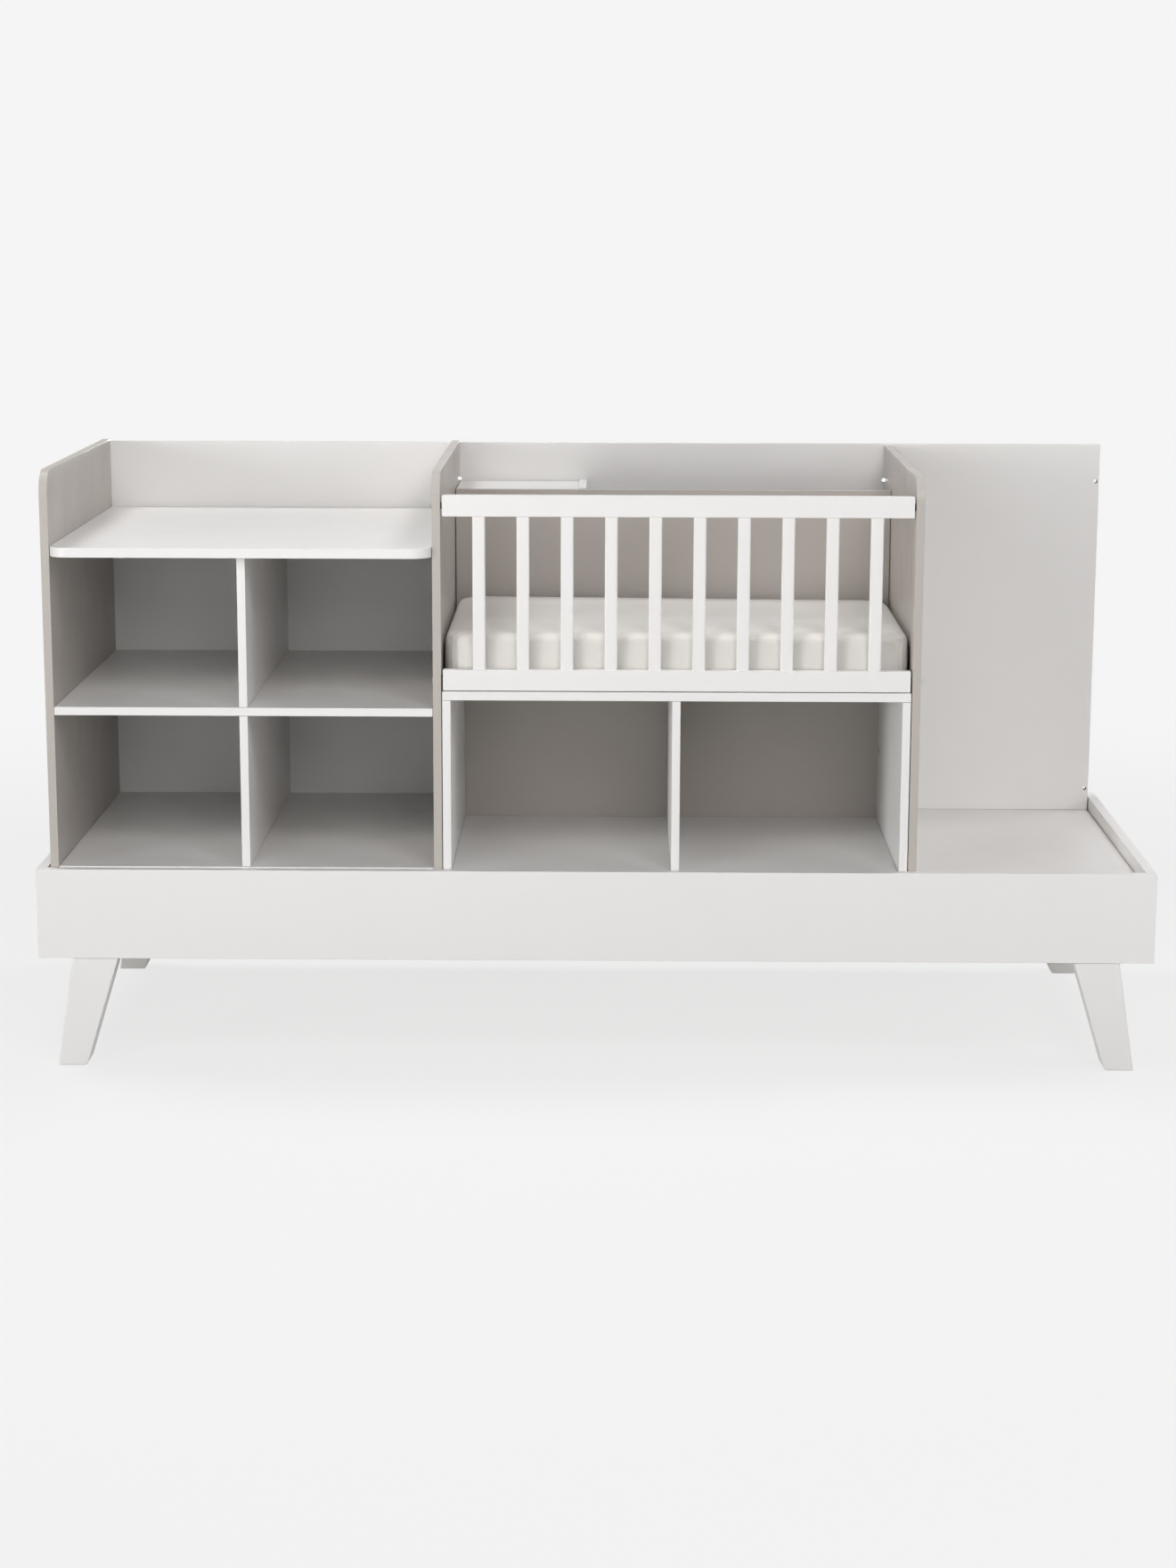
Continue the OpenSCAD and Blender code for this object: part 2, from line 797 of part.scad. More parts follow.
module crib_back()
    color(greige)
        difference() {
            slab([x_unit0, y_crib, z_plat], [x_unit1, y_crib_back, z_plat + crib_back_h]);
            back_bolt_set(fit_gap);
        }

module crib_right_side()
    color(greige)
        difference() {
            side_panel(x_right0, crib_side_h);
            bolt_set(fit_gap);
            bracket_screw_set(fit_gap);
        }

// ---- Barrier ----

// Barrier bolts with domed heads on the side panels' outer faces
module bolt_set(grow = 0)
    for (s = [-1, 1], z = rail_zs)
        translate([s < 0 ? x_mid0 : x_right1, y_bar_mid, z + rail_h / 2])
            rotate(s < 0 ? to_x : to_minus_x) {
                cylinder(r = bolt_d / 2 + grow, h = bolt_l + grow);
                if (grow == 0)
                    bolt_head();
            }

// A low dome: a slice of a sphere as wide as the head
module bolt_head() {
    dome_r = (bolt_head_d * bolt_head_d / 4 + bolt_head_h * bolt_head_h) / (2 * bolt_head_h);
    rotate_extrude($fn = 48)
        intersection() {
            translate([0, dome_r - bolt_head_h])
                circle(dome_r, $fn = 96);
            translate([0, -bolt_head_h])
                square([bolt_head_d / 2, bolt_head_h]);
        }
}

nut_inset = bolt_l - panel_t - barrier_gap - nut_d / 2;

// Cross dowel nuts let into the rails from the crib's inside
module nut_set(grow = 0)
    for (x = [x_bar0 + nut_inset, x_bar1 - nut_inset], z = rail_zs)
        bar([x, y_mod + rail_t - nut_l - grow, z + rail_h / 2], "y",
            nut_d / 2 + grow, nut_l + grow);

// A barrier rail; pocket_z is the side of the rail where the slats enter
module barrier_rail(z, pocket_z)
    color(white)
        difference() {
            translate([(x_bar0 + x_bar1) / 2, y_mod + rail_t, z + rail_h / 2])
                rotate(to_minus_y)
                    linear_extrude(rail_t)
                        round_rect(x_bar1 - x_bar0, rail_h, rail_r);
            bolt_set(fit_gap);
            nut_set(fit_gap);
            for (x = slat_xs)
                translate([x, y_bar_mid, pocket_z])
                    linear_extrude(tenon_l + fit_gap)
                        round_rect(slat_w + 2 * fit_gap, slat_t + 2 * fit_gap, slat_r + fit_gap);
        }

module barrier_bottom_rail() barrier_rail(rail_zs[0], rail_zs[0] + rail_h - tenon_l - fit_gap);
module barrier_top_rail() barrier_rail(rail_zs[1], rail_zs[1]);

module barrier_slats()
    color(white)
        for (x = slat_xs)
            translate([x, y_bar_mid, rail_zs[0] + rail_h - tenon_l])
                linear_extrude(rail_zs[1] - rail_zs[0] - rail_h + 2 * tenon_l)
                    round_rect(slat_w, slat_t, slat_r);

module barrier_bolts()
    color(steel)
        bolt_set();

module barrier_nuts()
    color(steel)
        difference() {
            nut_set();
            bolt_set(fit_gap);
        }

// Plastic spacers between the rails and the side panels
module barrier_spacers()
    color("#3E3B38")
        for (x = [x_mid1, x_bar1], z = rail_zs)
            difference() {
                bar([x, y_bar_mid, z + rail_h / 2], "x", bolt_d, barrier_gap);
                bar([x - 1, y_bar_mid, z + rail_h / 2], "x", bolt_d / 2 + fit_gap, barrier_gap + 2);
            }

// ---- Space behind the crib ----

// Screws of the angle brackets: one along Y into the rear panel, one along X into the side
module bracket_screw_set(grow = 0)
    for (s = [-1, 1], z = bracket_zs) {
        x = s < 0 ? x_mid1 : x_right0;
        screw([x - s * (bracket_t + bracket_l) / 2, y_rear - bracket_t, z], to_y,
            thin_screw_l, grow);
        screw([x - s * bracket_t, y_rear - (bracket_t + bracket_l) / 2, z],
            s < 0 ? to_minus_x : to_x, thin_screw_l, grow);
    }

module rear_brackets()
    color(steel)
        for (s = [-1, 1], z = bracket_zs)
            difference() {
                translate([s < 0 ? x_mid1 : x_right0, y_rear, z - bracket_w / 2])
                    linear_extrude(bracket_w)
                        scale([-s, -1]) {
                            square([bracket_l, bracket_t]);
                            square([bracket_t, bracket_l]);
                        }
                bracket_screw_set(fit_gap);
            }

module bracket_screws()
    color(steel)
        bracket_screw_set();

module rear_shelf()
    color(white)
        difference() {
            slab([x_rshelf0, y_crib_back, z_rshelf - panel_t], [x_rshelf1, y_rear, z_rshelf]);
            panel_screw_set(fit_gap);
        }

module rear_upright()
    color(white)
        difference() {
            slab([x_rshelf1, y_crib_back, z_plat],
                [x_rshelf1 + panel_t, y_rear, z_rshelf + upright_rise]);
            panel_screw_set(fit_gap);
        }

// ---- Mattress ----

mat_w = crib_w - 2 * mattress_gap;
mat_d = crib_d - rail_t - 2 * mattress_gap;
arc_steps = 6;
long_steps = 10;
short_steps = 6;
crown_steps = 5;

// One ring of the mattress outline; inset draws it in, share shrinks it to the middle
function mat_ring(z, inset, share) = [for (c = [0 : 3]) each let (
        sx = c == 0 || c == 3 ? 1 : -1,
        sy = c < 2 ? 1 : -1,
        cx = sx * (mat_w / 2 - mattress_corner_r),
        cy = sy * (mat_d / 2 - mattress_corner_r),
        r = mattress_corner_r - inset,
        a = 90 * (c + 1),
        long = c % 2 == 0,
        steps = long ? long_steps : short_steps,
        run = 2 * ((long ? mat_w : mat_d) / 2 - mattress_corner_r),
        start = [cx + r * cos(a), cy + r * sin(a)])
    concat(
        [for (i = [0 : arc_steps]) let (t = 90 * c + 90 * i / arc_steps)
            share_point([cx + r * cos(t), cy + r * sin(t)], share, z)],
        [for (i = [1 : steps - 1]) let (
                f = i / steps,
                draw = mattress_draw * sin(180 * f),
                p = start + run * f * [cos(a + 90), sin(a + 90)] - draw * [cos(a), sin(a)])
            share_point(p, share, z)])];

function share_point(p, share, z) = [p[0] * share, p[1] * share, z];

// Heights and insets of the rings, from the flat foot to the crown
mat_top = mattress_h - mattress_crown;
mat_levels = concat(
    [for (i = [0 : 3]) let (a = 90 * i / 3)
        [mattress_foot_r * (1 - cos(a)), mattress_foot_r * (1 - sin(a)), 1]],
    [for (i = [0 : 5]) let (a = 90 * i / 5)
        [mat_top - mattress_edge_r * (1 - sin(a)), mattress_edge_r * (1 - cos(a)), 1]],
    [for (i = [1 : crown_steps - 1]) let (s = cos(90 * i / crown_steps))
        [mat_top + mattress_crown * (1 - s * s), mattress_edge_r, s]]);

module mattress() {
    rings = [for (l = mat_levels) mat_ring(l[0], l[1], l[2])];
    count = len(rings[0]);
    last = (len(rings) - 1) * count;
    foot = len(rings) * count;
    points = concat([for (r = rings) each r], [[0, 0, 0], [0, 0, mattress_h]]);
    sides = [for (k = [0 : len(rings) - 2], j = [0 : count - 1]) each let (
            a = k * count + j,
            b = k * count + (j + 1) % count)
        [[a, a + count, b + count], [a, b + count, b]]];
    caps = [for (j = [0 : count - 1]) each let (n = (j + 1) % count)
        [[foot, j, n], [foot + 1, last + n, last + j]]];
    color(fabric)
        translate([(x_mid1 + x_right0) / 2, (y_mod + rail_t + y_crib) / 2,
                z_unit + mattress_rest_gap])
            polyhedron(points, concat(sides, caps));
}

bed_front_board();
bed_rear_board();
bed_left_end();
bed_right_end();
leg_front_left();
leg_front_right();
leg_rear_left();
leg_rear_right();
leg_glides();
leg_studs();
corner_blocks();
corner_screws();
end_screws();
ledger_front();
ledger_rear();
ledger_screws();
base_slats();
platform_left();
platform_middle();
platform_right();
rear_rail();
rear_rail_screws();
rear_panel_left();
rear_panel_middle();
rear_panel_right();
joint_plates();
joint_plate_screws();
rear_panel_screws();
changer_left_side();
changer_right_side();
changing_top();
changer_mid_shelf();
changer_base();
changer_upper_divider();
changer_lower_divider();
changer_cams();
changer_cam_bolts();
changer_dowels();
divider_dowels();
crib_right_side();
crib_back();
unit_top();
unit_left_side();
unit_right_side();
unit_divider();
unit_base();
unit_cams();
unit_cam_bolts();
unit_screws();
barrier_top_rail();
barrier_bottom_rail();
barrier_slats();
barrier_bolts();
barrier_nuts();
barrier_spacers();
rear_shelf();
rear_upright();
rear_brackets();
bracket_screws();
mattress();
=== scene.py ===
# %% [markdown]
# # A convertible nursery bed with a changing unit and a small crib
#
# Everything here is flat-pack furniture: lacquered boards, a few turned screws and
# one soft mattress. The solids of the boards come in as a fixed frame, in metres. We
# rebuild each board that shows with soft edges, let the fixings cut their own holes,
# sew the mattress, and light it like a studio shot.

# %% Load the frame
import json
import math

import bmesh
import bpy
from mathutils import Matrix, Vector, noise


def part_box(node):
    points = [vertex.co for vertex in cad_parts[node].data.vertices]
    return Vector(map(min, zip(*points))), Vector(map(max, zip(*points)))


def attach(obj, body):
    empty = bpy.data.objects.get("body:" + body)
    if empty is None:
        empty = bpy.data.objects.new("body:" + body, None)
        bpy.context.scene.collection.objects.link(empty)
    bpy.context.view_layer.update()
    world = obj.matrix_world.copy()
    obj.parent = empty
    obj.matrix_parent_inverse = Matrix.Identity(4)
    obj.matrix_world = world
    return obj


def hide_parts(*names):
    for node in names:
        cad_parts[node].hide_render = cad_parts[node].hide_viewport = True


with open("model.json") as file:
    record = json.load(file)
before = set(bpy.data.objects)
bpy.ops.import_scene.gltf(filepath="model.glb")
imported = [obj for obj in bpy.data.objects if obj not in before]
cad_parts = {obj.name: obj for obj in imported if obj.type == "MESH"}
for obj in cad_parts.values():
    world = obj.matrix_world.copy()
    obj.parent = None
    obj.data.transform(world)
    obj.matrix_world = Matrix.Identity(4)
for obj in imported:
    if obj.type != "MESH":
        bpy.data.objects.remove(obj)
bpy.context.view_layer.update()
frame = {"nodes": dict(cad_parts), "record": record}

MM = 0.001

# %% [markdown]
# ## The camera
#
# The photograph was taken from just above the top of the furniture, a little left of
# square, with a long lens. The lens, the place and the three turns below were solved
# from the straight edges of the boards. The frame is cropped off-centre, which is a
# small vertical shift and not a tilt, so upright edges stay as they are in the picture.

# %% The camera
PHOTO_W, PHOTO_H = 1320, 1760
FOCAL_PX = 3645.1
SHIFT_PX = 120
YAW, PITCH, ROLL = (math.radians(a) for a in (-0.514, 12.268, 0.175))
EYE = Vector((0.0362, -5.9367, 1.5294))

forward = Vector((math.sin(YAW) * math.cos(PITCH), math.cos(YAW) * math.cos(PITCH), -math.sin(PITCH)))
level = Vector((math.cos(YAW), -math.sin(YAW), 0))
upward = level.cross(forward)
right = level * math.cos(ROLL) + upward * math.sin(ROLL)
top = upward * math.cos(ROLL) - level * math.sin(ROLL)

bpy.ops.object.camera_add()
camera = bpy.context.object
camera.name = "studio_camera"
camera.matrix_world = Matrix.Translation(EYE) @ Matrix((right, top, -forward)).transposed().to_4x4()
camera.data.sensor_width = 36
camera.data.lens = FOCAL_PX / PHOTO_H * camera.data.sensor_width
camera.data.shift_y = SHIFT_PX / PHOTO_H
camera.data.clip_end = 60
bpy.context.scene.camera = camera
print("lens", round(camera.data.lens, 2), "mm")

# %% [markdown]
# ## Small helpers
#
# An operator works on all that is selected, so each step starts by selecting only the
# piece that it works on. A new block is a cube stretched to the size and place of the
# board it stands for. Its edges are then rounded in edit mode, where we pick edges by
# how sharply they turn and by where they lie. A bevel modifier could round them too, but
# it knows only the angle. A rounded edge is shaded smooth, and a weighted normal keeps
# the wide faces beside it perfectly level.

# %% Select, block and round
EDGE = 0.7 * MM  # the soft edge of a lacquered board
SHARP = math.radians(30)
TOUCH = 0.01 * MM  # two places closer than this are the same
AXIS_X, AXIS_Y, AXIS_Z = range(3)


def pick(piece):
    """Selects one piece and makes it active."""
    bpy.ops.object.select_all(action="DESELECT")
    piece.select_set(True)
    bpy.context.view_layer.objects.active = piece


def block(name, low, high):
    """A cube stretched between two corners, with its place in its mesh."""
    bpy.ops.object.select_all(action="DESELECT")
    bpy.ops.mesh.primitive_cube_add(size=1, location=(low + high) / 2, scale=high - low)
    piece = bpy.context.object
    piece.name = piece.data.name = name
    bpy.ops.object.transform_apply(location=True, rotation=True, scale=True)
    return piece


def runs_along(way, axis):
    """True where a direction runs along an axis."""
    return abs(way[axis]) > 0.9


def round_edges(piece, radius, steps, wanted=None):
    """Rounds the sharp edges whose middle and direction pass a test."""
    pick(piece)
    bpy.ops.object.mode_set(mode="EDIT")
    bpy.ops.mesh.select_mode(type="EDGE")
    bpy.ops.mesh.select_all(action="DESELECT")
    mesh = bmesh.from_edit_mesh(piece.data)
    for edge in mesh.edges:
        a, b = (v.co for v in edge.verts)
        turned = edge.is_manifold and edge.calc_face_angle() > SHARP
        edge.select_set(turned and (wanted is None or wanted((a + b) / 2, (b - a).normalized())))
    bmesh.update_edit_mesh(piece.data)
    bpy.ops.mesh.bevel(offset=radius, segments=steps, affect="EDGES", clamp_overlap=True)
    bpy.ops.object.mode_set(mode="OBJECT")


def apply(piece, kind, **settings):
    """Adds a modifier and applies it."""
    pick(piece)
    modifier = piece.modifiers.new(kind.lower(), kind)
    for key, value in settings.items():
        setattr(modifier, key, value)
    bpy.ops.object.modifier_apply(modifier=modifier.name)


def join(name, pieces):
    """Joins pieces into one and names it."""
    bpy.ops.object.select_all(action="DESELECT")
    for piece in pieces:
        piece.select_set(True)
    bpy.context.view_layer.objects.active = pieces[0]
    bpy.ops.object.join()
    pieces[0].name = pieces[0].data.name = name
    return pieces[0]


# %% [markdown]
# ## Reading the fixings
#
# The screws, cams and bolts of the frame tell us where the holes are. We merge a copy
# of each fixing, swell it by its clearance, and use it as the drill. Holes could be placed
# from a list of numbers instead, but cut by the screws themselves they always fit. We
# also measure each loose solid, so that a better-looking screw can take the same place.

# %% Drills and solids
CLEARANCE = 0.15 * MM
drills = {}


def merged_copy(node, name):
    """A copy of a frame solid with its loose triangles merged."""
    piece = bpy.data.objects.new(name, frame["nodes"][node].data.copy())
    bpy.context.scene.collection.objects.link(piece)
    pick(piece)
    bpy.ops.object.mode_set(mode="EDIT")
    bpy.ops.mesh.select_all(action="SELECT")
    bpy.ops.mesh.remove_doubles(threshold=1e-6)
    bpy.ops.object.mode_set(mode="OBJECT")
    return piece


def drill(piece, *nodes):
    """Cuts the holes that fixings sit in."""
    for node in nodes:
        if node not in drills:
            drills[node] = merged_copy(node, "drill_" + node)
            apply(drills[node], "DISPLACE", strength=CLEARANCE, mid_level=0, direction="NORMAL")
        apply(piece, "BOOLEAN", operation="DIFFERENCE", solver="EXACT", object=drills[node])


def solids(node):
    """The corner points of each separate solid in a frame node."""
    mesh = bmesh.new()
    mesh.from_mesh(frame["nodes"][node].data)
    bmesh.ops.remove_doubles(mesh, verts=mesh.verts, dist=1e-6)
    seen, groups = set(), []
    for first in mesh.verts:
        if first in seen:
            continue
        seen.add(first)
        group, front = [], [first]
        while front:
            vert = front.pop()
            group.append(vert.co.copy())
            for edge in vert.link_edges:
                other = edge.other_vert(vert)
                if other not in seen:
                    seen.add(other)
                    front.append(other)
        groups.append(group)
    mesh.free()
    return groups


def extent(points):
    """Lowest and highest corner of some points."""
    low = Vector(min(p[i] for p in points) for i in range(3))
    high = Vector(max(p[i] for p in points) for i in range(3))
    return low, high


# %% [markdown]
# ## Finishes
#
# Colours are written as the hex values that a paint chart would give, and one function
# turns them into the linear values that the renderer mixes. One more small function adds
# a shader node with its settings and its links.

# %% Colour and node helpers
WAVE = math.tau / 20  # a wave texture of this scale repeats once in a metre


def linear(code):
    """An sRGB hex colour as linear red, green, blue and 1."""
    parts = [int(code[i : i + 2], 16) / 255 for i in (1, 3, 5)]
    return [c / 12.92 if c <= 0.04045 else ((c + 0.055) / 1.055) ** 2.4 for c in parts] + [1]


def add(tree, kind, settings=None, **links):
    """Adds a node; settings name its inputs or its options, links name its inputs."""
    made = tree.nodes.new("ShaderNode" + kind)
    for key, value in (settings or {}).items():
        if key in made.inputs:
            made.inputs[key].default_value = value
        else:
            setattr(made, key, value)
    for key, socket in links.items():
        tree.links.new(socket, made.inputs[key.replace("_", " ")])
    return made


def fresh(name):
    """A new material with an empty tree, and its output node."""
    made = bpy.data.materials.new(name)
    made.use_nodes = True
    made.node_tree.nodes.clear()
    return made, made.node_tree, made.node_tree.nodes.new("ShaderNodeOutputMaterial")


# %% [markdown]
# ### Lacquered board
#
# The boards are MDF sprayed with a satin acrylic lacquer. Up close such a coat has a fine
# orange-peel skin, about a millimetre and a half from dimple to dimple, and its sheen
# drifts a little where the coat went on thicker. The colour is almost even: it drifts by
# about one part in a hundred over a hand's width. White and grey-beige differ only in
# their pigment. A picture of lacquer would repeat along a two-metre board, and noise laid
# out in the object's own space never does.

# %% Lacquered board
PEEL = 1.5 * MM
DRIFT = 90 * MM
SATIN, DULLER = 0.34, 0.44  # roughness of a thick and of a thin coat


def lacquered_board(name, pigment, shade):
    """Satin acrylic lacquer on MDF: even, soft-shining, with a faint orange peel."""
    made, tree, out = fresh(name)
    where = add(tree, "TexCoord").outputs["Object"]
    slow = add(tree, "TexNoise", {"Scale": 1 / DRIFT, "Detail": 3}, Vector=where)
    peel = add(tree, "TexNoise", {"Scale": 1 / PEEL, "Detail": 2, "Roughness": 0.4}, Vector=where)
    colour = add(tree, "Mix", {"data_type": "RGBA"})
    colour.inputs[6].default_value = linear(pigment)
    colour.inputs[7].default_value = linear(shade)
    tree.links.new(slow.outputs["Fac"], colour.inputs[0])
    sheen = add(
        tree, "MapRange", {"From Min": 0.3, "From Max": 0.7, "To Min": SATIN, "To Max": DULLER},
        Value=slow.outputs["Fac"],
    )
    bump = add(tree, "Bump", {"Strength": 0.12, "Distance": 0.05 * MM}, Height=peel.outputs["Fac"])
    shader = add(
        tree, "BsdfPrincipled", {"IOR": 1.48},
        Base_Color=colour.outputs[2], Roughness=sheen.outputs["Result"], Normal=bump.outputs["Normal"],
    )
    tree.links.new(shader.outputs["BSDF"], out.inputs["Surface"])
    print("finish", name, "with", len(tree.nodes), "nodes")
    return made


white_lacquer = lacquered_board("white_satin_lacquer", "#EEEDEC", "#EBEAE8")
greige_lacquer = lacquered_board("greige_satin_lacquer", "#BBB5AF", "#B8B2AC")

# %% [markdown]
# ### Planed pine
#
# The ledgers, the corner blocks, the slats under the platform and the dowels are bare
# softwood. Planed pine shows long grain lines, 4 to 6 mm apart, that wander slowly, with
# the darker late wood a little smoother than the early wood. A wave pattern stretched
# along the grain gives the lines, and a stretched noise gives the fibres.

# %% Planed pine
RINGS = 5 * MM
FIBRE = 0.6 * MM
WANDER = 60 * MM
GRAIN_SQUEEZE = 0.04  # patterns are drawn 25 times longer along the grain


def planed_pine(name, along):
    """Bare planed pine with its grain along one axis, X or Y."""
    made, tree, out = fresh(name)
    where = add(tree, "TexCoord").outputs["Object"]
    stretch = [1, 1, 1]
    stretch[along] = GRAIN_SQUEEZE
    laid = add(tree, "Mapping", {"Scale": stretch}, Vector=where)
    wander = add(tree, "TexNoise", {"Scale": 1 / WANDER, "Detail": 2}, Vector=laid.outputs["Vector"])
    bent = add(tree, "VectorMath", {"operation": "MULTIPLY_ADD"})
    tree.links.new(wander.outputs["Color"], bent.inputs[0])
    bent.inputs[1].default_value = (0.02, 0.02, 0.02)
    tree.links.new(laid.outputs["Vector"], bent.inputs[2])
    rings = add(
        tree, "TexWave",
        {"Scale": WAVE / RINGS, "Distortion": 1.5, "Detail": 2, "bands_direction": "Z" if along == AXIS_X else "X"},
        Vector=bent.outputs["Vector"],
    )
    fibre = add(tree, "TexNoise", {"Scale": 1 / FIBRE, "Detail": 3}, Vector=laid.outputs["Vector"])
    wood = add(tree, "ValToRGB", Fac=rings.outputs["Fac"])
    wood.color_ramp.elements[0].color = linear("#E3C89E")
    wood.color_ramp.elements[1].color = linear("#CFA874")
    rough = add(tree, "MapRange", {"To Min": 0.62, "To Max": 0.5}, Value=rings.outputs["Fac"])
    bump = add(tree, "Bump", {"Strength": 0.25, "Distance": 0.1 * MM}, Height=fibre.outputs["Fac"])
    shader = add(
        tree, "BsdfPrincipled", {"IOR": 1.5},
        Base_Color=wood.outputs["Color"], Roughness=rough.outputs["Result"], Normal=bump.outputs["Normal"],
    )
    tree.links.new(shader.outputs["BSDF"], out.inputs["Surface"])
    print("finish", name, "with", len(tree.nodes), "nodes")
    return made


pine_along_x = planed_pine("planed_pine_along_x", AXIS_X)
pine_along_y = planed_pine("planed_pine_along_y", AXIS_Y)

# %% [markdown]
# ### Zinc-plated steel, moulded plastic and felt
#
# The screws and brackets are zinc-plated steel: a bright, slightly blue metal whose
# plating clouds in patches a few millimetres wide. The spacers beside the barrier are
# moulded from dark nylon, and the glides under the feet are cut from pressed wool felt.
# Where a hole is drilled after painting, the bare brown core of the fibreboard shows. Its
# brown is made darker than raw fibreboard, as painted shade for the hole's shadowed wall.
# A flat colour would look like paint on all four. One recipe serves them instead: a noise
# mixes two close colours and moves the roughness along with them.

# %% Steel, plastic, felt and the core with painted shade
CLOUD = 6 * MM
FELT_FIBRE = 0.8 * MM
CHIP = 0.5 * MM
MOULD_GRAIN = 1.2 * MM


def small_finish(name, colour, second, grain, settings, rough, relief):
    """A finish with one noise that mixes two colours and moves the roughness."""
    made, tree, out = fresh(name)
    where = add(tree, "TexCoord").outputs["Object"]
    speckle = add(tree, "TexNoise", {"Scale": 1 / grain, "Detail": 4}, Vector=where)
    mixed = add(tree, "Mix", {"data_type": "RGBA"})
    mixed.inputs[6].default_value = linear(colour)
    mixed.inputs[7].default_value = linear(second)
    tree.links.new(speckle.outputs["Fac"], mixed.inputs[0])
    roughness = add(tree, "MapRange", {"To Min": rough[0], "To Max": rough[1]}, Value=speckle.outputs["Fac"])
    bump = add(tree, "Bump", {"Strength": 0.3, "Distance": relief}, Height=speckle.outputs["Fac"])
    shader = add(
        tree, "BsdfPrincipled", settings,
        Base_Color=mixed.outputs[2], Roughness=roughness.outputs["Result"], Normal=bump.outputs["Normal"],
    )
    tree.links.new(shader.outputs["BSDF"], out.inputs["Surface"])
    print("finish", name, "with", len(tree.nodes), "nodes")
    return made


zinc_steel = small_finish(
    "zinc_plated_steel", "#C4C7CA", "#AEB1B4", CLOUD, {"Metallic": 1}, (0.24, 0.42), 0.02 * MM
)
dark_nylon = small_finish(
    "dark_moulded_nylon", "#45423F", "#3A3735", MOULD_GRAIN, {"IOR": 1.53}, (0.42, 0.55), 0.03 * MM
)
wool_felt = small_finish(
    "pressed_wool_felt", "#7B7772", "#625E5A", FELT_FIBRE, {"IOR": 1.5, "Sheen Weight": 0.4}, (0.9, 1.0), 0.3 * MM
)
# Fibreboard core, darker than raw board: painted shade for the shadowed walls of the spare holes.
core_with_painted_shade = small_finish(
    "bare_fibreboard_core", "#8E7962", "#75624E", CHIP, {"IOR": 1.5}, (0.85, 0.95), 0.1 * MM
)

# %% [markdown]
# ## How a board is finished
#
# Each board is a block with the size and place of its solid. The solid could be dressed
# as it is, but its triangles round badly, and a fresh block has clean faces. Where the
# real board has a round corner, that corner comes first, with a large radius. Then all
# edges get the small softness of a lacquered edge, and last the fixings cut their holes.
# Sawn boards never meet without a hairline between them, so each block is a quarter of a
# millimetre short on every side. Only the tall back, the legs and the laths keep their
# full size. The function gives the piece its finish and hides the solid that it stands for.

# %% Finish a piece
SLOTS = {
    "white_board": white_lacquer,
    "greige_board": greige_lacquer,
    "pine": pine_along_x,
    "steel": zinc_steel,
    "spacer_plastic": dark_nylon,
    "glide_felt": wool_felt,
}
slot_of = {part["node"]: part["material_slot"] for part in frame["record"]["subparts"]}


def finished(piece, node, finish=None, body="furniture", smooth=50, level_faces=True):
    """Gives a piece its finish and its body, and hides the solid it stands for."""
    piece.data.materials.clear()
    piece.data.materials.append(finish or SLOTS[slot_of[node]])
    pick(piece)
    bpy.ops.object.shade_smooth_by_angle(angle=math.radians(smooth))
    if level_faces:
        apply(piece, "WEIGHTED_NORMAL", keep_sharp=True, weight=100)
    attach(piece, body)
    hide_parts(node)
    print(piece.name, len(piece.data.polygons), "faces")


HAIRLINE = Vector((0.25, 0.25, 0.25)) * MM


def board(node, fixings=(), corner=0, at=None, edge=EDGE):
    """A board with soft edges, perhaps round corners, and its fixings' holes."""
    low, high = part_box(node)
    piece = block(node + "_board", low + HAIRLINE, high - HAIRLINE)
    if corner:
        round_edges(piece, corner, 16, at)
    round_edges(piece, edge, 2)
    drill(piece, *fixings)
    finished(piece, node)


# %% [markdown]
# ## The bed base
#
# Four boards on edge make the base. The platform lies a little below their top edges, in
# three parts with fine joints, and pine slats and ledgers carry it. An array could repeat
# one slat, but each lath is a block of its own here, read from the frame and joined to the
# others at the end, so that it lies where the real one does.

# %% The bed base
long_screws = ["corner_screws", "ledger_screws"]
board("bed_front_board", long_screws)
board("bed_rear_board", long_screws + ["rear_rail_screws"])
board("bed_left_end", ["end_screws"])
board("bed_right_end", ["end_screws"])
for part in ("left", "middle", "right"):
    board("platform_" + part)
board("rear_rail", ["rear_rail_screws"])

PLANED = 2 * MM


def laths(node, finish, fixings=()):
    """Each solid of a node as its own planed batten, joined into one piece."""
    parts = []
    for points in solids(node):
        part = block(node + "_part", *extent(points))
        round_edges(part, PLANED, 3)
        parts.append(part)
    piece = join(node + "_planed", parts)
    drill(piece, *fixings)
    finished(piece, node, finish)


laths("base_slats", pine_along_y)
laths("ledger_front", pine_along_x, ["ledger_screws"])
laths("ledger_rear", pine_along_x, ["ledger_screws"])
laths("corner_blocks", pine_along_x, ["corner_screws", "end_screws", "leg_studs"])

# %% [markdown]
# ## The legs
#
# A leg leans outwards and tapers to its foot, and its foot's inner corner is cut off.
# Moving a block's corners would give the taper, but not the cut, which needs a new face.
# So we start from the block round the leg and bisect it three times: along the outer
# slope, along the inner slope, and across the foot's corner. Each cut fills its own face.

# %% The legs


def cut(piece, point, outward):
    """Cuts away what lies outside a plane, and closes the cut."""
    pick(piece)
    bpy.ops.object.mode_set(mode="EDIT")
    bpy.ops.mesh.select_all(action="SELECT")
    bpy.ops.mesh.bisect(plane_co=point, plane_no=outward, use_fill=True, clear_outer=True)
    bpy.ops.object.mode_set(mode="OBJECT")


def slope(first, second, outside):
    """A plane's outward normal from two points of the leg's outline, seen from the front."""
    run = (second - first).normalized()
    normal = Vector((run.z, 0, -run.x))
    return normal if normal.dot(outside - first) > 0 else -normal


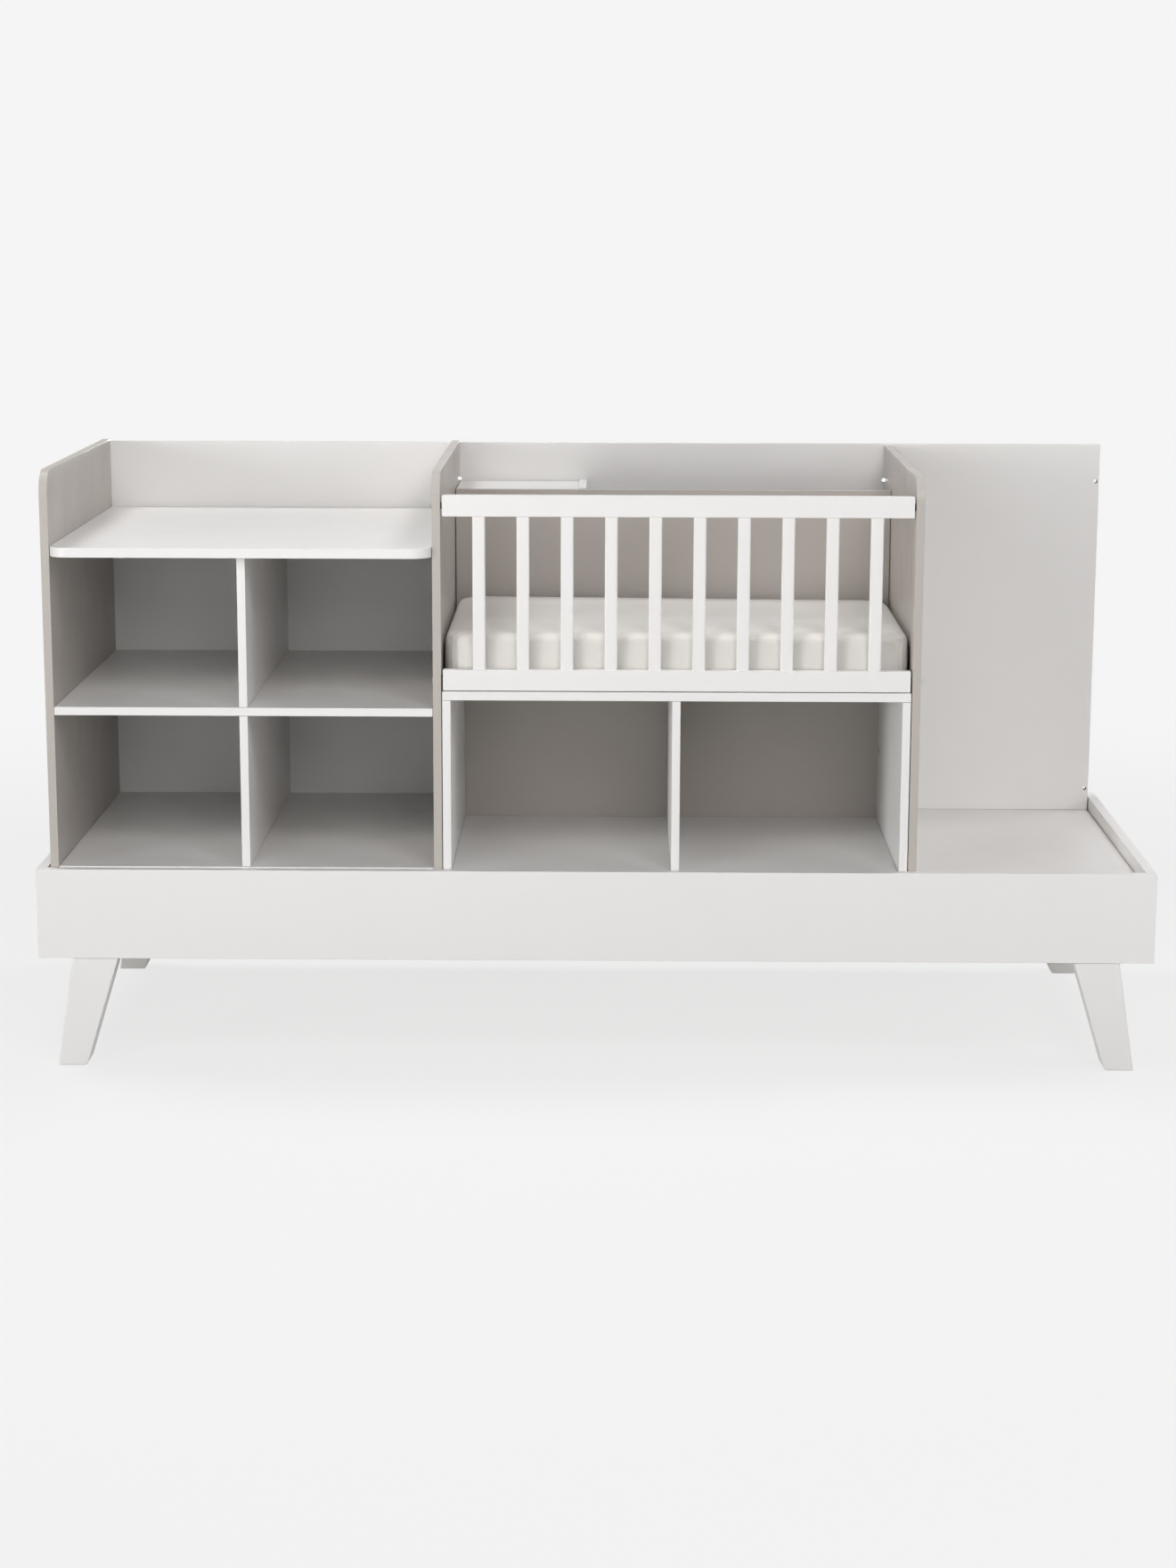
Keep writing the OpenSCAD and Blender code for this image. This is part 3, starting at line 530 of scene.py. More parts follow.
def leg(node, side):
    """A leg at the left (side -1) or the right (side 1), cut from its block."""
    low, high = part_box(node)
    outline = [p for p in solids(node)[0] if abs(p.y - low.y) < TOUCH]
    head = sorted((p for p in outline if p.z > high.z - TOUCH), key=lambda p: side * p.x)
    foot = sorted((p for p in outline if p.z < low.z + TOUCH), key=lambda p: side * p.x)
    heel = min((p for p in outline if low.z + 10 * TOUCH < p.z < high.z - 10 * TOUCH), key=lambda p: p.z)
    middle = Vector(((low.x + high.x) / 2, low.y, (low.z + high.z) / 2))
    far = Vector((side, 0, 0))
    piece = block(node + "_leg", low, high)
    cut(piece, head[-1], slope(head[-1], foot[-1], middle + far))
    cut(piece, head[0], slope(head[0], heel, middle - far))
    cut(piece, heel, slope(heel, foot[0], heel - far - Vector((0, 0, 1))))
    round_edges(piece, PLANED, 3)
    drill(piece, "leg_studs")
    finished(piece, node)


for depth in ("front", "rear"):
    leg(f"leg_{depth}_left", -1)
    leg(f"leg_{depth}_right", 1)

# %% [markdown]
# ## The back, the changing unit and the crib
#
# The tall back is three boards with spare holes near their upright edges. No fixing sits
# in those, so plain cylinders drill them, and their walls take the core finish, whose dark
# brown is partly bare fibreboard and partly painted shade. The side panels have a round
# upper front corner, and the changing top two round front corners seen from above. Each is
# rounded before the small edges, and the test picks the corner by its direction and its place.

# %% The back
panel_fixings = ["rear_panel_screws", "joint_plate_screws", "bracket_screws", "rear_rail_screws"]
SPARE_HOLE = 4 * MM
SPARE_INSET, SPARE_LOW, SPARE_PITCH = 7 * MM, 43 * MM, 600 * MM


def rear_panel(node):
    """A back board with the two spare holes near each upright edge."""
    low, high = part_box(node)
    middle = (low.y + high.y) / 2
    through = 4 * (high.y - low.y)
    places = [
        Vector((x, middle, z))
        for x in (low.x + SPARE_INSET, high.x - SPARE_INSET)
        for z in (low.z + SPARE_LOW, low.z + SPARE_LOW + SPARE_PITCH)
    ]
    pins = []
    for place in places:
        bpy.ops.object.select_all(action="DESELECT")
        bpy.ops.mesh.primitive_cylinder_add(
            vertices=32, radius=SPARE_HOLE, depth=through, location=place, rotation=(math.pi / 2, 0, 0)
        )
        pins.append(bpy.context.object)
    pin = join("pins", pins)
    piece = block(node + "_board", low, high)
    round_edges(piece, EDGE, 2)
    apply(piece, "BOOLEAN", operation="DIFFERENCE", solver="EXACT", object=pin)
    bpy.data.objects.remove(pin)
    drill(piece, *panel_fixings)
    finished(piece, node)
    # The spare holes' walls take the core colour, darkened as painted shade.
    piece.data.materials.append(core_with_painted_shade)
    bored = 0
    for face in piece.data.polygons:
        centre = Vector((face.center.x, middle, face.center.z))
        if any((centre - place).length < SPARE_HOLE + EDGE for place in places):
            face.material_index = 1
            bored += 1
    print(node, "bored faces", bored)


for part in ("left", "middle", "right"):
    rear_panel("rear_panel_" + part)

# %% The changing unit
shelf_fixings = ["changer_cams", "changer_cam_bolts", "changer_dowels", "divider_dowels", "rear_panel_screws"]
side_fixings = ["changer_cam_bolts", "changer_dowels", "barrier_bolts", "bracket_screws", "rear_panel_screws"]
SIDE_CORNER, TOP_CORNER = 40 * MM, 35 * MM


def side_panel(node, fixings):
    """An upright panel with a round upper front corner."""
    low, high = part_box(node)
    board(
        node, fixings, SIDE_CORNER,
        lambda middle, way: runs_along(way, AXIS_X) and middle.y < low.y + EDGE and middle.z > high.z - EDGE,
    )


side_panel("changer_left_side", side_fixings)
side_panel("changer_right_side", side_fixings)
side_panel("crib_right_side", ["barrier_bolts", "bracket_screws"])
top_low, top_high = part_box("changing_top")
board(
    "changing_top", shelf_fixings, TOP_CORNER,
    lambda middle, way: runs_along(way, AXIS_Z) and middle.y < top_low.y + EDGE,
)
for node in ("changer_mid_shelf", "changer_base"):
    board(node, shelf_fixings)
for node in ("changer_upper_divider", "changer_lower_divider"):
    board(node, ["divider_dowels"])

# %% The lower unit, the crib back and the shelf behind it
unit_fixings = ["unit_cams", "unit_cam_bolts", "unit_screws"]
for node in ("unit_top", "unit_left_side", "unit_right_side", "unit_divider", "unit_base"):
    board(node, unit_fixings)
board("crib_back", ["unit_cam_bolts"])
board("rear_shelf", ["rear_panel_screws"])
board("rear_upright", ["rear_panel_screws"])

# %% [markdown]
# ## The barrier
#
# The rails are routed with a small round at each end, and their long edges are softened
# a little more than a board's, because hands rest on them. The slats are thin laths with
# rounded edges, modelled first as plain blocks. Each ends in a pocket of its rail, so the
# slats of the frame are used as drills too.

# %% The barrier
RAIL_CORNER, RAIL_EDGE, SLAT_EDGE = 2 * MM, 1 * MM, 3 * MM
rail_fixings = ["barrier_bolts", "barrier_nuts", "barrier_slats"]
for node in ("barrier_top_rail", "barrier_bottom_rail"):
    board(node, rail_fixings, RAIL_CORNER, lambda middle, way: runs_along(way, AXIS_Y), RAIL_EDGE)

slats = []
for points in solids("barrier_slats"):
    slat = block("slat", *extent(points))
    round_edges(slat, SLAT_EDGE, 6, lambda middle, way: runs_along(way, AXIS_Z))
    slats.append(slat)
finished(join("barrier_slats_turned", slats), "barrier_slats")
print("slats:", len(slats))

# %% [markdown]
# ## The mattress
#
# The crib mattress is a firm foam block in a fitted cotton sheet. The foam gives the form:
# corners with a large radius seen from above, a soft upper edge and a nearly square foot.
# The sheet gives the life: it is cut with a little spare cloth at the four corners, where
# an elastic draws it in. Its folds could be sculpted, but the solver finds where cloth
# really gives way. So we start from a rounded block a little too small, remesh it into
# even quads, and let the cloth solver blow it up. Some weights hold the flat parts close
# to the foam and leave the corners free, and there the cloth grows a little, so that it
# puckers. A limit keeps each point within a few millimetres of the foam. The top is
# crowned, and its rear edge stays a little higher, most of all at the left.

# %% The foam
SHEET_ROOM = 0.8 * MM
CORNER_R, UPPER_R, FOOT_R = 45 * MM, 15 * MM, 8 * MM
CROWN, REAR_RISE = 7 * MM, 6 * MM
CLOTH = 1 * MM
VOXEL = 6.5 * MM

low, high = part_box("mattress")
foam_low = low + Vector((SHEET_ROOM, SHEET_ROOM, 0))
foam_high = high - Vector((SHEET_ROOM, SHEET_ROOM, CROWN + CLOTH))
mattress = block("mattress_in_fitted_sheet", foam_low, foam_high)
round_edges(mattress, CORNER_R, 14, lambda middle, way: runs_along(way, AXIS_Z))
round_edges(mattress, UPPER_R, 8, lambda middle, way: middle.z > foam_high.z - EDGE)
round_edges(mattress, FOOT_R, 5, lambda middle, way: middle.z < foam_low.z + EDGE)
apply(mattress, "REMESH", mode="VOXEL", voxel_size=VOXEL)
print("foam has", len(mattress.data.vertices), "points")


# %% Where the sheet is free
def past_corner(p):
    """How far a point is outside the square inside the corner radius, along X and Y."""
    x = max(foam_low.x + CORNER_R - p.x, p.x - foam_high.x + CORNER_R)
    y = max(foam_low.y + CORNER_R - p.y, p.y - foam_high.y + CORNER_R)
    return x, y


def ramp(value, start, end):
    """A smooth step from 0 at start to 1 at end."""
    t = min(1, max(0, (value - start) / (end - start)))
    return t * t * (3 - 2 * t)


def bulge(past, span):
    """1 in the middle of a side of this span, falling to 0 at its ends."""
    return max(0, 1 - max(past + span / 2 - CORNER_R, 0) ** 2 / (span / 2) ** 2)


LOOSE_START, LOOSE_END = -45 * MM, 5 * MM  # the sheet comes loose from the foam towards a corner
HELD_FOOT = 3 * MM
loose = 0
held = mattress.vertex_groups.new(name="held")
spare = mattress.vertex_groups.new(name="spare")
side_top = foam_high.z - 0.3 * UPPER_R
for vertex in mattress.data.vertices:
    x, y = past_corner(vertex.co)
    corner = ramp(min(x, y), LOOSE_START, LOOSE_END) * ramp(vertex.co.z, foam_low.z + 4 * MM, foam_low.z + 14 * MM)
    top = ramp(vertex.co.z, side_top - 4 * MM, side_top + 8 * MM)
    spare.add([vertex.index], corner * (1 - 0.75 * top), "REPLACE")
    grip = 1 if vertex.co.z < foam_low.z + HELD_FOOT else 0.16 * (1 - 0.9 * corner)
    held.add([vertex.index], grip, "REPLACE")
    loose += corner > 0
print("points where the sheet is loose:", loose)

# %% Blow the sheet up
START, END = 1, 20
REACH = 3.2 * MM
rest = [vertex.co.copy() for vertex in mattress.data.vertices]
pick(mattress)
cloth = mattress.modifiers.new("sheet", "CLOTH")
cloth.settings.quality = 6
cloth.settings.mass = 0.2
cloth.settings.tension_stiffness = cloth.settings.compression_stiffness = 18
cloth.settings.shear_stiffness = 6
cloth.settings.bending_stiffness = 0.15
cloth.settings.use_pressure = True
cloth.settings.uniform_pressure_force = 4
cloth.settings.vertex_group_mass = held.name
cloth.settings.pin_stiffness = 2
cloth.settings.vertex_group_shrink = spare.name
cloth.settings.shrink_min = 0
cloth.settings.shrink_max = -0.12
cloth.settings.effector_weights.gravity = 0
cloth.point_cache.frame_start, cloth.point_cache.frame_end = START, END
for frame_number in range(START, END + 1):
    bpy.context.scene.frame_set(frame_number)
bpy.ops.object.modifier_apply(modifier=cloth.name)
bpy.context.scene.frame_set(START)
furthest = 0
span = high - low
for vertex, start in zip(mattress.data.vertices, rest):
    move = vertex.co - start
    furthest = max(furthest, move.length)
    if move.length > REACH:
        move *= REACH / move.length
    x, y = past_corner(start)
    on_top = ramp(start.z, foam_high.z - UPPER_R, foam_high.z)
    rearward = ramp(start.y, (low.y + high.y) / 2, high.y - CORNER_R)
    leftward = 1 - 0.7 * ramp(start.x, low.x + CORNER_R, high.x)
    lift = max(CROWN * bulge(x, span.x) * bulge(y, span.y), REAR_RISE * rearward * leftward)
    vertex.co = start + move + Vector((0, 0, lift * on_top))
print("the sheet moved at most", round(furthest / MM, 1), "mm")
apply(mattress, "SMOOTH", factor=0.5, iterations=2)
apply(mattress, "SUBSURF", levels=1, render_levels=1)

# %% [markdown]
# ### Gathers, hem and corner seams
#
# The solver leaves broad, soft forms. The fine gathers come from the elastic in the hem,
# which shortens the cloth at each corner, so we press shallow folds into the corners that
# grow towards the foot, and short crumples over the upper edge. Underneath, the hem lies
# as a flat border and the bare foam is a millimetre further in. The seam of each corner is
# a narrow strip, pulled out step by step along the corner and shrunk onto the cloth.

# %% Gathers and hem
FOLD, FOLD_PITCH = 1.8 * MM, 12.5 * MM
CRUMPLE = 2.6 * MM
HEM, HEM_RISE = 48 * MM, 1.2 * MM
GATHERED = 25 * MM  # folds begin this far before a corner's arc
UNDERSIDE = 0.03  # share of the height that counts as the underside
DRIFTING, UNEVEN, CRUMPLED, RIPPLED = 22, 11, 55, 60  # noise scales, per metre

folded = 0
for vertex, normal in [(v, v.normal.copy()) for v in mattress.data.vertices]:
    x, y = past_corner(vertex.co)
    height = (vertex.co.z - foam_low.z) / (foam_high.z - foam_low.z)
    if x > -GATHERED and y > -GATHERED:
        arc = math.atan2(max(y, 0) + 1e-6, max(x, 0) + 1e-6) * CORNER_R + min(y, 0) - min(x, 0)
        drift = noise.noise(vertex.co * DRIFTING)
        fold = 0.5 - 0.5 * math.sin(math.tau * (arc / FOLD_PITCH + 0.9 * drift))
        border = ramp(min(x, y), -GATHERED, 8 * MM)
        uneven = 0.6 + 0.6 * noise.noise(vertex.co * UNEVEN + Vector((7, 3, 1)))
        lower = (1 - ramp(height, 0.1, 0.95)) * uneven
        on_diagonal = 1 - ramp(abs(arc - CORNER_R * math.pi / 4), 6 * MM, 30 * MM)
        upper = 0.4 * on_diagonal * ramp(height, 0.55, 0.8) * ramp(math.hypot(x, y), 20 * MM, 45 * MM)
        shoulder = ramp(height, 0.5, 0.8) * border * abs(noise.noise(vertex.co * CRUMPLED + Vector((2, 9, 4))))
        if height > UNDERSIDE:
            vertex.co -= normal * (FOLD * fold * border * (max(lower, 0) + upper) + CRUMPLE * shoulder)
            folded += 1
    if height < UNDERSIDE:
        inside = -max(x - CORNER_R, y - CORNER_R, math.hypot(max(x, 0), max(y, 0)) - CORNER_R)
        ripple = 5 * MM * noise.noise(Vector((vertex.co.x, vertex.co.y, 0)) * RIPPLED)
        vertex.co.z += HEM_RISE * ramp(inside + ripple, HEM, HEM + 6 * MM)
    vertex.co.z = max(vertex.co.z, low.z)
print("folded points:", folded)

# %% Corner seams
SEAM_W, SEAM_T, SEAM_LIFT = 3.2 * MM, 0.7 * MM, 0.15 * MM
seams = []
for sx in (-1, 1):
    for sy in (-1, 1):
        centre = Vector((
            foam_high.x - CORNER_R if sx > 0 else foam_low.x + CORNER_R,
            foam_high.y - CORNER_R if sy > 0 else foam_low.y + CORNER_R,
            0,
        ))
        out_way = Vector((sx, sy, 0)).normalized()
        side_way = Vector((-out_way.y, out_way.x, 0))
        profile = [(CORNER_R - UPPER_R - 9 * MM, foam_high.z), (CORNER_R - UPPER_R, foam_high.z)]
        for k in range(1, 7):
            a = math.radians(15 * k)
            profile.append((CORNER_R - UPPER_R * (1 - math.sin(a)), foam_high.z - UPPER_R * (1 - math.cos(a))))
        profile += [(CORNER_R, foam_high.z - down) for down in (32 * MM, 44 * MM)]
        profile += [(CORNER_R, foam_low.z + up) for up in (30 * MM, 18 * MM)]
        profile += [(CORNER_R, foam_low.z + FOOT_R), (CORNER_R - 2 * MM, foam_low.z + 3 * MM)]
        path = [centre + out_way * r + Vector((0, 0, z)) for r, z in profile]
        bpy.ops.object.select_all(action="DESELECT")
        bpy.ops.mesh.primitive_plane_add(size=1)
        strip = bpy.context.object
        bpy.ops.object.mode_set(mode="EDIT")
        bpy.ops.mesh.select_mode(type="VERT")
        mesh = bmesh.from_edit_mesh(strip.data)
        for vert, across, along in zip(mesh.verts, (-1, 1, -1, 1), (0, 0, 1, 1)):
            vert.co = path[along] + side_way * across * SEAM_W / 2
            vert.select_set(along == 1)
        mesh.select_flush_mode()
        bmesh.update_edit_mesh(strip.data)
        for last, step in zip(path[1:], path[2:]):
            bpy.ops.mesh.extrude_region_move(TRANSFORM_OT_translate={"value": step - last})
        bpy.ops.object.mode_set(mode="OBJECT")
        apply(strip, "SUBSURF", levels=1, render_levels=1)
        apply(
            strip, "SHRINKWRAP", target=mattress, wrap_method="NEAREST_SURFACEPOINT",
            wrap_mode="ABOVE_SURFACE", offset=SEAM_LIFT,
        )
        apply(strip, "SOLIDIFY", thickness=SEAM_T, offset=0)
        pick(strip)
        bpy.ops.object.mode_set(mode="EDIT")
        bpy.ops.mesh.select_all(action="SELECT")
        bpy.ops.mesh.normals_make_consistent(inside=False)
        bpy.ops.object.mode_set(mode="OBJECT")
        seams.append(strip)
seam_piece = join("mattress_corner_seams", seams)
print("seams:", len(seams), "points", len(seam_piece.data.vertices))

# %% [markdown]
# ### The sheet's cloth
#
# Percale is a plain weave of fine cotton, about a third of a millimetre from thread to
# thread. That is finer than a pixel here, so the weave is drawn 1.2 mm wide to show at
# all. It follows a map laid on the surface from six sides. On top of it lie the faint
# creases of a washed sheet, a hand's width apart, and a soft sheen from loose fibres.

# %% Cotton percale
THREAD = 1.2 * MM
CREASE = 70 * MM

pick(mattress)
bpy.ops.object.mode_set(mode="EDIT")
bpy.ops.mesh.select_all(action="SELECT")
bpy.ops.uv.cube_project(cube_size=1, correct_aspect=False, scale_to_bounds=False)
bpy.ops.object.mode_set(mode="OBJECT")

cotton, tree, out = fresh("washed_cotton_percale")
spot = add(tree, "TexCoord")
weave = add(tree, "Math", {"operation": "MULTIPLY"})
for socket, bands in ((0, "X"), (1, "Y")):
    threads = add(
        tree, "TexWave", {"Scale": WAVE / THREAD, "Distortion": 0.4, "Detail": 1, "bands_direction": bands},
        Vector=spot.outputs["UV"],
    )
    tree.links.new(threads.outputs["Fac"], weave.inputs[socket])
turned = {"Scale": (1, 1.8, 1.4), "Rotation": (0.3, 0.2, 0.5)}
stretched = add(tree, "Mapping", turned, Vector=spot.outputs["Object"])
crease = add(
    tree, "TexNoise", {"Scale": 1 / CREASE, "Detail": 3, "Roughness": 0.45, "Distortion": 0.8},
    Vector=stretched.outputs["Vector"],
)
tone = add(tree, "Mix", {"data_type": "RGBA"})
tone.inputs[6].default_value = linear("#D9D6D1")
tone.inputs[7].default_value = linear("#E1DED9")
tree.links.new(weave.outputs[0], tone.inputs[0])
fine = add(tree, "Bump", {"Strength": 0.35, "Distance": 0.12 * MM}, Height=weave.outputs[0])
broad = add(
    tree, "Bump", {"Strength": 0.5, "Distance": 5 * MM}, Height=crease.outputs["Fac"], Normal=fine.outputs["Normal"]
)
shader = add(
    tree, "BsdfPrincipled", {"Roughness": 0.88, "IOR": 1.5, "Sheen Weight": 0.25, "Sheen Roughness": 0.5},
    Base_Color=tone.outputs[2], Normal=broad.outputs["Normal"],
)
tree.links.new(shader.outputs["BSDF"], out.inputs["Surface"])
SLOTS["mattress_cover"] = cotton
finished(mattress, "mattress", cotton, "mattress", 60, False)
finished(seam_piece, "mattress", cotton, "mattress", 60, False)

# %% [markdown]
# ## Screws, cams and bolts
#
# A countersunk screw is a thin cylinder whose end face is pulled out and widened into the
# head. A spin could turn the whole outline at once, but pulling a face shows each step.
# Two crossed blades then cut the recess for the driver. A cam is a short drum with such a
# recess, and the barrier's bolts have a low dome with a six-sided socket. We make each
# once, standing along Z with its head upwards, and stamp copies on the solids.

# %% Turned parts


def pull(piece, steps):
    """Extrudes the top face again and again; each step is a rise and a new radius."""
    pick(piece)
    bpy.ops.object.mode_set(mode="EDIT")
    bpy.ops.mesh.select_mode(type="FACE")
    bpy.ops.mesh.select_all(action="DESELECT")
    mesh = bmesh.from_edit_mesh(piece.data)
    mesh.faces.ensure_lookup_table()
    highest = max(mesh.faces, key=lambda face: face.calc_center_median().z)
    highest.select_set(True)
    radius = max(v.co.xy.length for v in highest.verts)
    bmesh.update_edit_mesh(piece.data)
    for rise, wide in steps:
        bpy.ops.mesh.extrude_region_move(TRANSFORM_OT_translate={"value": (0, 0, rise)})
        bpy.ops.transform.resize(value=(wide / radius, wide / radius, 1))
        radius = wide
    bpy.ops.object.mode_set(mode="OBJECT")


def rod(name, radius, low, high, sides=24):
    """A plain cylinder between two heights."""
    bpy.ops.object.select_all(action="DESELECT")
    middle = (0, 0, (low + high) / 2)
    bpy.ops.mesh.primitive_cylinder_add(vertices=sides, radius=radius, depth=high - low, location=middle)
    piece = bpy.context.object
    piece.name = name
    bpy.ops.object.transform_apply(location=True, rotation=True, scale=True)
    return piece


def cross_recess(piece, span, depth, top):
    """Cuts a cross for the driver into the top of a head."""
    for length, width in ((span, span / 5), (span / 5, span)):
        reach = Vector((length / 2, width / 2, depth))
        blade = block("blade", Vector((-reach.x, -reach.y, top - depth)), Vector((reach.x, reach.y, top + depth)))
        apply(piece, "BOOLEAN", operation="DIFFERENCE", solver="EXACT", object=blade)
        bpy.data.objects.remove(blade)


def countersunk(length, shank=2 * MM, head=4 * MM):
    """A wood screw: head at zero, shank down to -length."""
    rise = head - shank
    rim = 0.15 * rise
    piece = rod("screw", shank, -length, -rise)
    pull(piece, [(rise - rim, head - rim), (rim, head - rim / 3)])
    cross_recess(piece, span=4.4 * MM, depth=1.6 * MM, top=0)
    return piece


def cam(height, radius=6 * MM, rim=0.4 * MM):
    """A cam lock: a short drum with its face at zero."""
    piece = rod("cam", radius, -height, -rim, 32)
    pull(piece, [(rim, radius - rim)])
    cross_recess(piece, span=6.5 * MM, depth=2.5 * MM, top=0)
    return piece


def dome_bolt(length, shank=3 * MM, head=6 * MM, rise=3 * MM):
    """A barrier bolt: the panel's face is at zero and the low dome stands above it."""
    sphere = (head * head + rise * rise) / (2 * rise)
    arc = [rise * k / 5 for k in range(1, 5)] + [rise * 0.97]
    steps = [(0, head)]
    last = 0
    for z in arc:
        steps.append((z - last, math.sqrt(sphere**2 - (sphere - rise + z) ** 2)))
        last = z
    piece = rod("bolt", shank, -length, 0, 32)
    pull(piece, steps)
    socket = rod("socket", 2.3 * MM, rise * 0.35, rise * 2, 6)
    apply(piece, "BOOLEAN", operation="DIFFERENCE", solver="EXACT", object=socket)
    bpy.data.objects.remove(socket)
    return piece


# %% Stamp them on the frame


def head_of(points, facing=None):
    """A fixing's outer end, the way it faces and its length; its head is the wider end."""
    low, high = extent(points)
    middle, size = (low + high) / 2, high - low
    if facing:
        way = facing(middle)
    else:
        long_axis = max(range(3), key=lambda i: size[i])
        way = Vector((0, 0, 0))
        way[long_axis] = 1
        rims = []
        for end in (low[long_axis], high[long_axis]):
            a, b = extent([p for p in points if abs(p[long_axis] - end) < TOUCH])
            rims.append((b - a).length)
        way *= 1 if rims[1] > rims[0] else -1
    length = abs(size.dot(way))
    return middle + way * length / 2, way, length


def stamp(node, make, facing=None, proud=0):
    """Copies a made fixing onto each solid of a node; its head may stand proud of the board."""
    copies, masters = [], {}
    for points in solids(node):
        place, way, length = head_of(points, facing)
        key = round(length, 5)
        if key not in masters:
            masters[key] = make(length - proud)
        copy = masters[key].copy()
        copy.data = masters[key].data.copy()
        bpy.context.scene.collection.objects.link(copy)
        copy.rotation_mode = "QUATERNION"
        copy.rotation_quaternion = Vector((0, 0, 1)).rotation_difference(way)
        copy.location = place - way * proud
        pick(copy)
        bpy.ops.object.transform_apply(location=True, rotation=True, scale=True)
        copies.append(copy)
    for master in masters.values():
        bpy.data.objects.remove(master)
    print(node, len(copies), "fixings")
    finished(join(node + "_turned", copies), node, zinc_steel)


for node in (
    "end_screws", "rear_rail_screws", "rear_panel_screws", "joint_plate_screws",
    "bracket_screws", "unit_screws", "corner_screws", "ledger_screws",
):
    stamp(node, countersunk)

# %% Cams and barrier bolts
DOME = 3 * MM
RISER_CAMS = 400 * MM  # cams above this height are in the lower unit's sides, not its base
unit_low, unit_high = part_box("unit_top")


def cam_face(middle):
    """A shelf's cams face down; those in an upright board face the open cubby."""
    if middle.z < RISER_CAMS:
        return Vector((0, 0, -1))
    return Vector((1 if middle.x < (unit_low.x + unit_high.x) / 2 else -1, 0, 0))


stamp("changer_cams", cam, lambda middle: Vector((0, 0, -1)))
stamp("unit_cams", cam, cam_face)
stamp("barrier_bolts", dome_bolt, lambda middle: Vector((math.copysign(1, middle.x), 0, 0)), DOME)

# %% [markdown]
# ## Small plates and moulded parts
#
# The joint plates, the angle brackets, the felt glides and the spacers have the right
# shape in the frame. A merged copy of each loses the lines across its flat faces, and its
# edges are rounded by less than half a millimetre, as a deburred edge is.

# %% Plates, brackets, glides and spacers
DEBURRED = 0.4 * MM
for node in ("joint_plates", "rear_brackets", "leg_glides", "barrier_spacers"):
    piece = merged_copy(node, node + "_deburred")
    bpy.ops.object.mode_set(mode="EDIT")
    bpy.ops.mesh.select_all(action="SELECT")
    bpy.ops.mesh.dissolve_limited(angle_limit=math.radians(1))
    bpy.ops.object.mode_set(mode="OBJECT")
    round_edges(piece, DEBURRED, 2)
    finished(piece, node)

# %% [markdown]
# ## What stays as it is
#
# The studs, cam bolts, dowels and cross nuts have the right shape already, and they are
# hidden in the boards. They keep their solids and only take their real finish.

# %% The rest of the frame
for node, solid in frame["nodes"].items():
    solid.data.materials.clear()
    solid.data.materials.append(SLOTS[slot_of[node]])
print("solids with a finish:", len(frame["nodes"]))

# %% [markdown]
# ## The studio
#
# The floor is a wide plane. Light that bounces off it sees a pale grey paint. The camera
# sees the backdrop's even white, mixed near the furniture with a share of a lit, nearly
# white paint, so that the floor keeps a soft shadow and has no visible edge far away. One
# white paint for all rays would be simpler, but it throws too much light on the undersides.
# The world does the same: a weak, even light for the furniture, and the backdrop's white
# for the camera and for what shines.

# %% Floor and backdrop
BACKDROP = linear("#F5F5F5")
SHADOW_SHARE = 0.18
NEAR, FAR = 1.6, 4.0


def seen_directly(tree):
    """1 where the camera, a reflection or a clear piece looks, 0 for bounced light."""
    rays = add(tree, "LightPath")
    either = add(tree, "Math", {"operation": "MAXIMUM"})
    seen = add(tree, "Math", {"operation": "MAXIMUM"})
    tree.links.new(rays.outputs["Is Camera Ray"], either.inputs[0])
    tree.links.new(rays.outputs["Is Glossy Ray"], either.inputs[1])
    tree.links.new(either.outputs[0], seen.inputs[0])
    tree.links.new(rays.outputs["Is Transmission Ray"], seen.inputs[1])
    return seen.outputs[0]


bpy.ops.object.select_all(action="DESELECT")
bpy.ops.mesh.primitive_plane_add(size=60, location=(0, 0, 0))
floor = bpy.context.object
floor.name = "studio_floor"
floor_paint, tree, out = fresh("matt_studio_floor")
paint = add(tree, "BsdfDiffuse", {"Color": linear("#B4B3B1")})
pale = add(tree, "BsdfDiffuse", {"Color": linear("#EDEDED")})
even = add(tree, "Emission", {"Color": BACKDROP, "Strength": 1})
away = add(tree, "VectorMath", {"operation": "LENGTH"})
tree.links.new(add(tree, "TexCoord").outputs["Object"], away.inputs[0])
share = add(
    tree, "MapRange",
    {"interpolation_type": "SMOOTHSTEP", "From Min": NEAR, "From Max": FAR, "To Min": SHADOW_SHARE, "To Max": 0},
    Value=away.outputs["Value"],
)
view = add(tree, "MixShader", Fac=share.outputs["Result"])
tree.links.new(even.outputs["Emission"], view.inputs[1])
tree.links.new(pale.outputs["BSDF"], view.inputs[2])
mixed = add(tree, "MixShader", Fac=seen_directly(tree))
tree.links.new(paint.outputs["BSDF"], mixed.inputs[1])
tree.links.new(view.outputs["Shader"], mixed.inputs[2])
tree.links.new(mixed.outputs["Shader"], out.inputs["Surface"])
floor.data.materials.append(floor_paint)
print("floor", tuple(round(side) for side in floor.dimensions[:2]), "m")

world = bpy.data.worlds.new("studio_world")
bpy.context.scene.world = world
world.use_nodes = True
tree = world.node_tree
tree.nodes.clear()
out = add(tree, "OutputWorld")
dim = add(tree, "Background", {"Color": linear("#FFFFFF"), "Strength": 0.02})
plain = add(tree, "Background", {"Color": BACKDROP, "Strength": 1})
pair = add(tree, "MixShader", Fac=seen_directly(tree))
tree.links.new(dim.outputs["Background"], pair.inputs[1])
tree.links.new(plain.outputs["Background"], pair.inputs[2])
tree.links.new(pair.outputs["Shader"], out.inputs["Surface"])

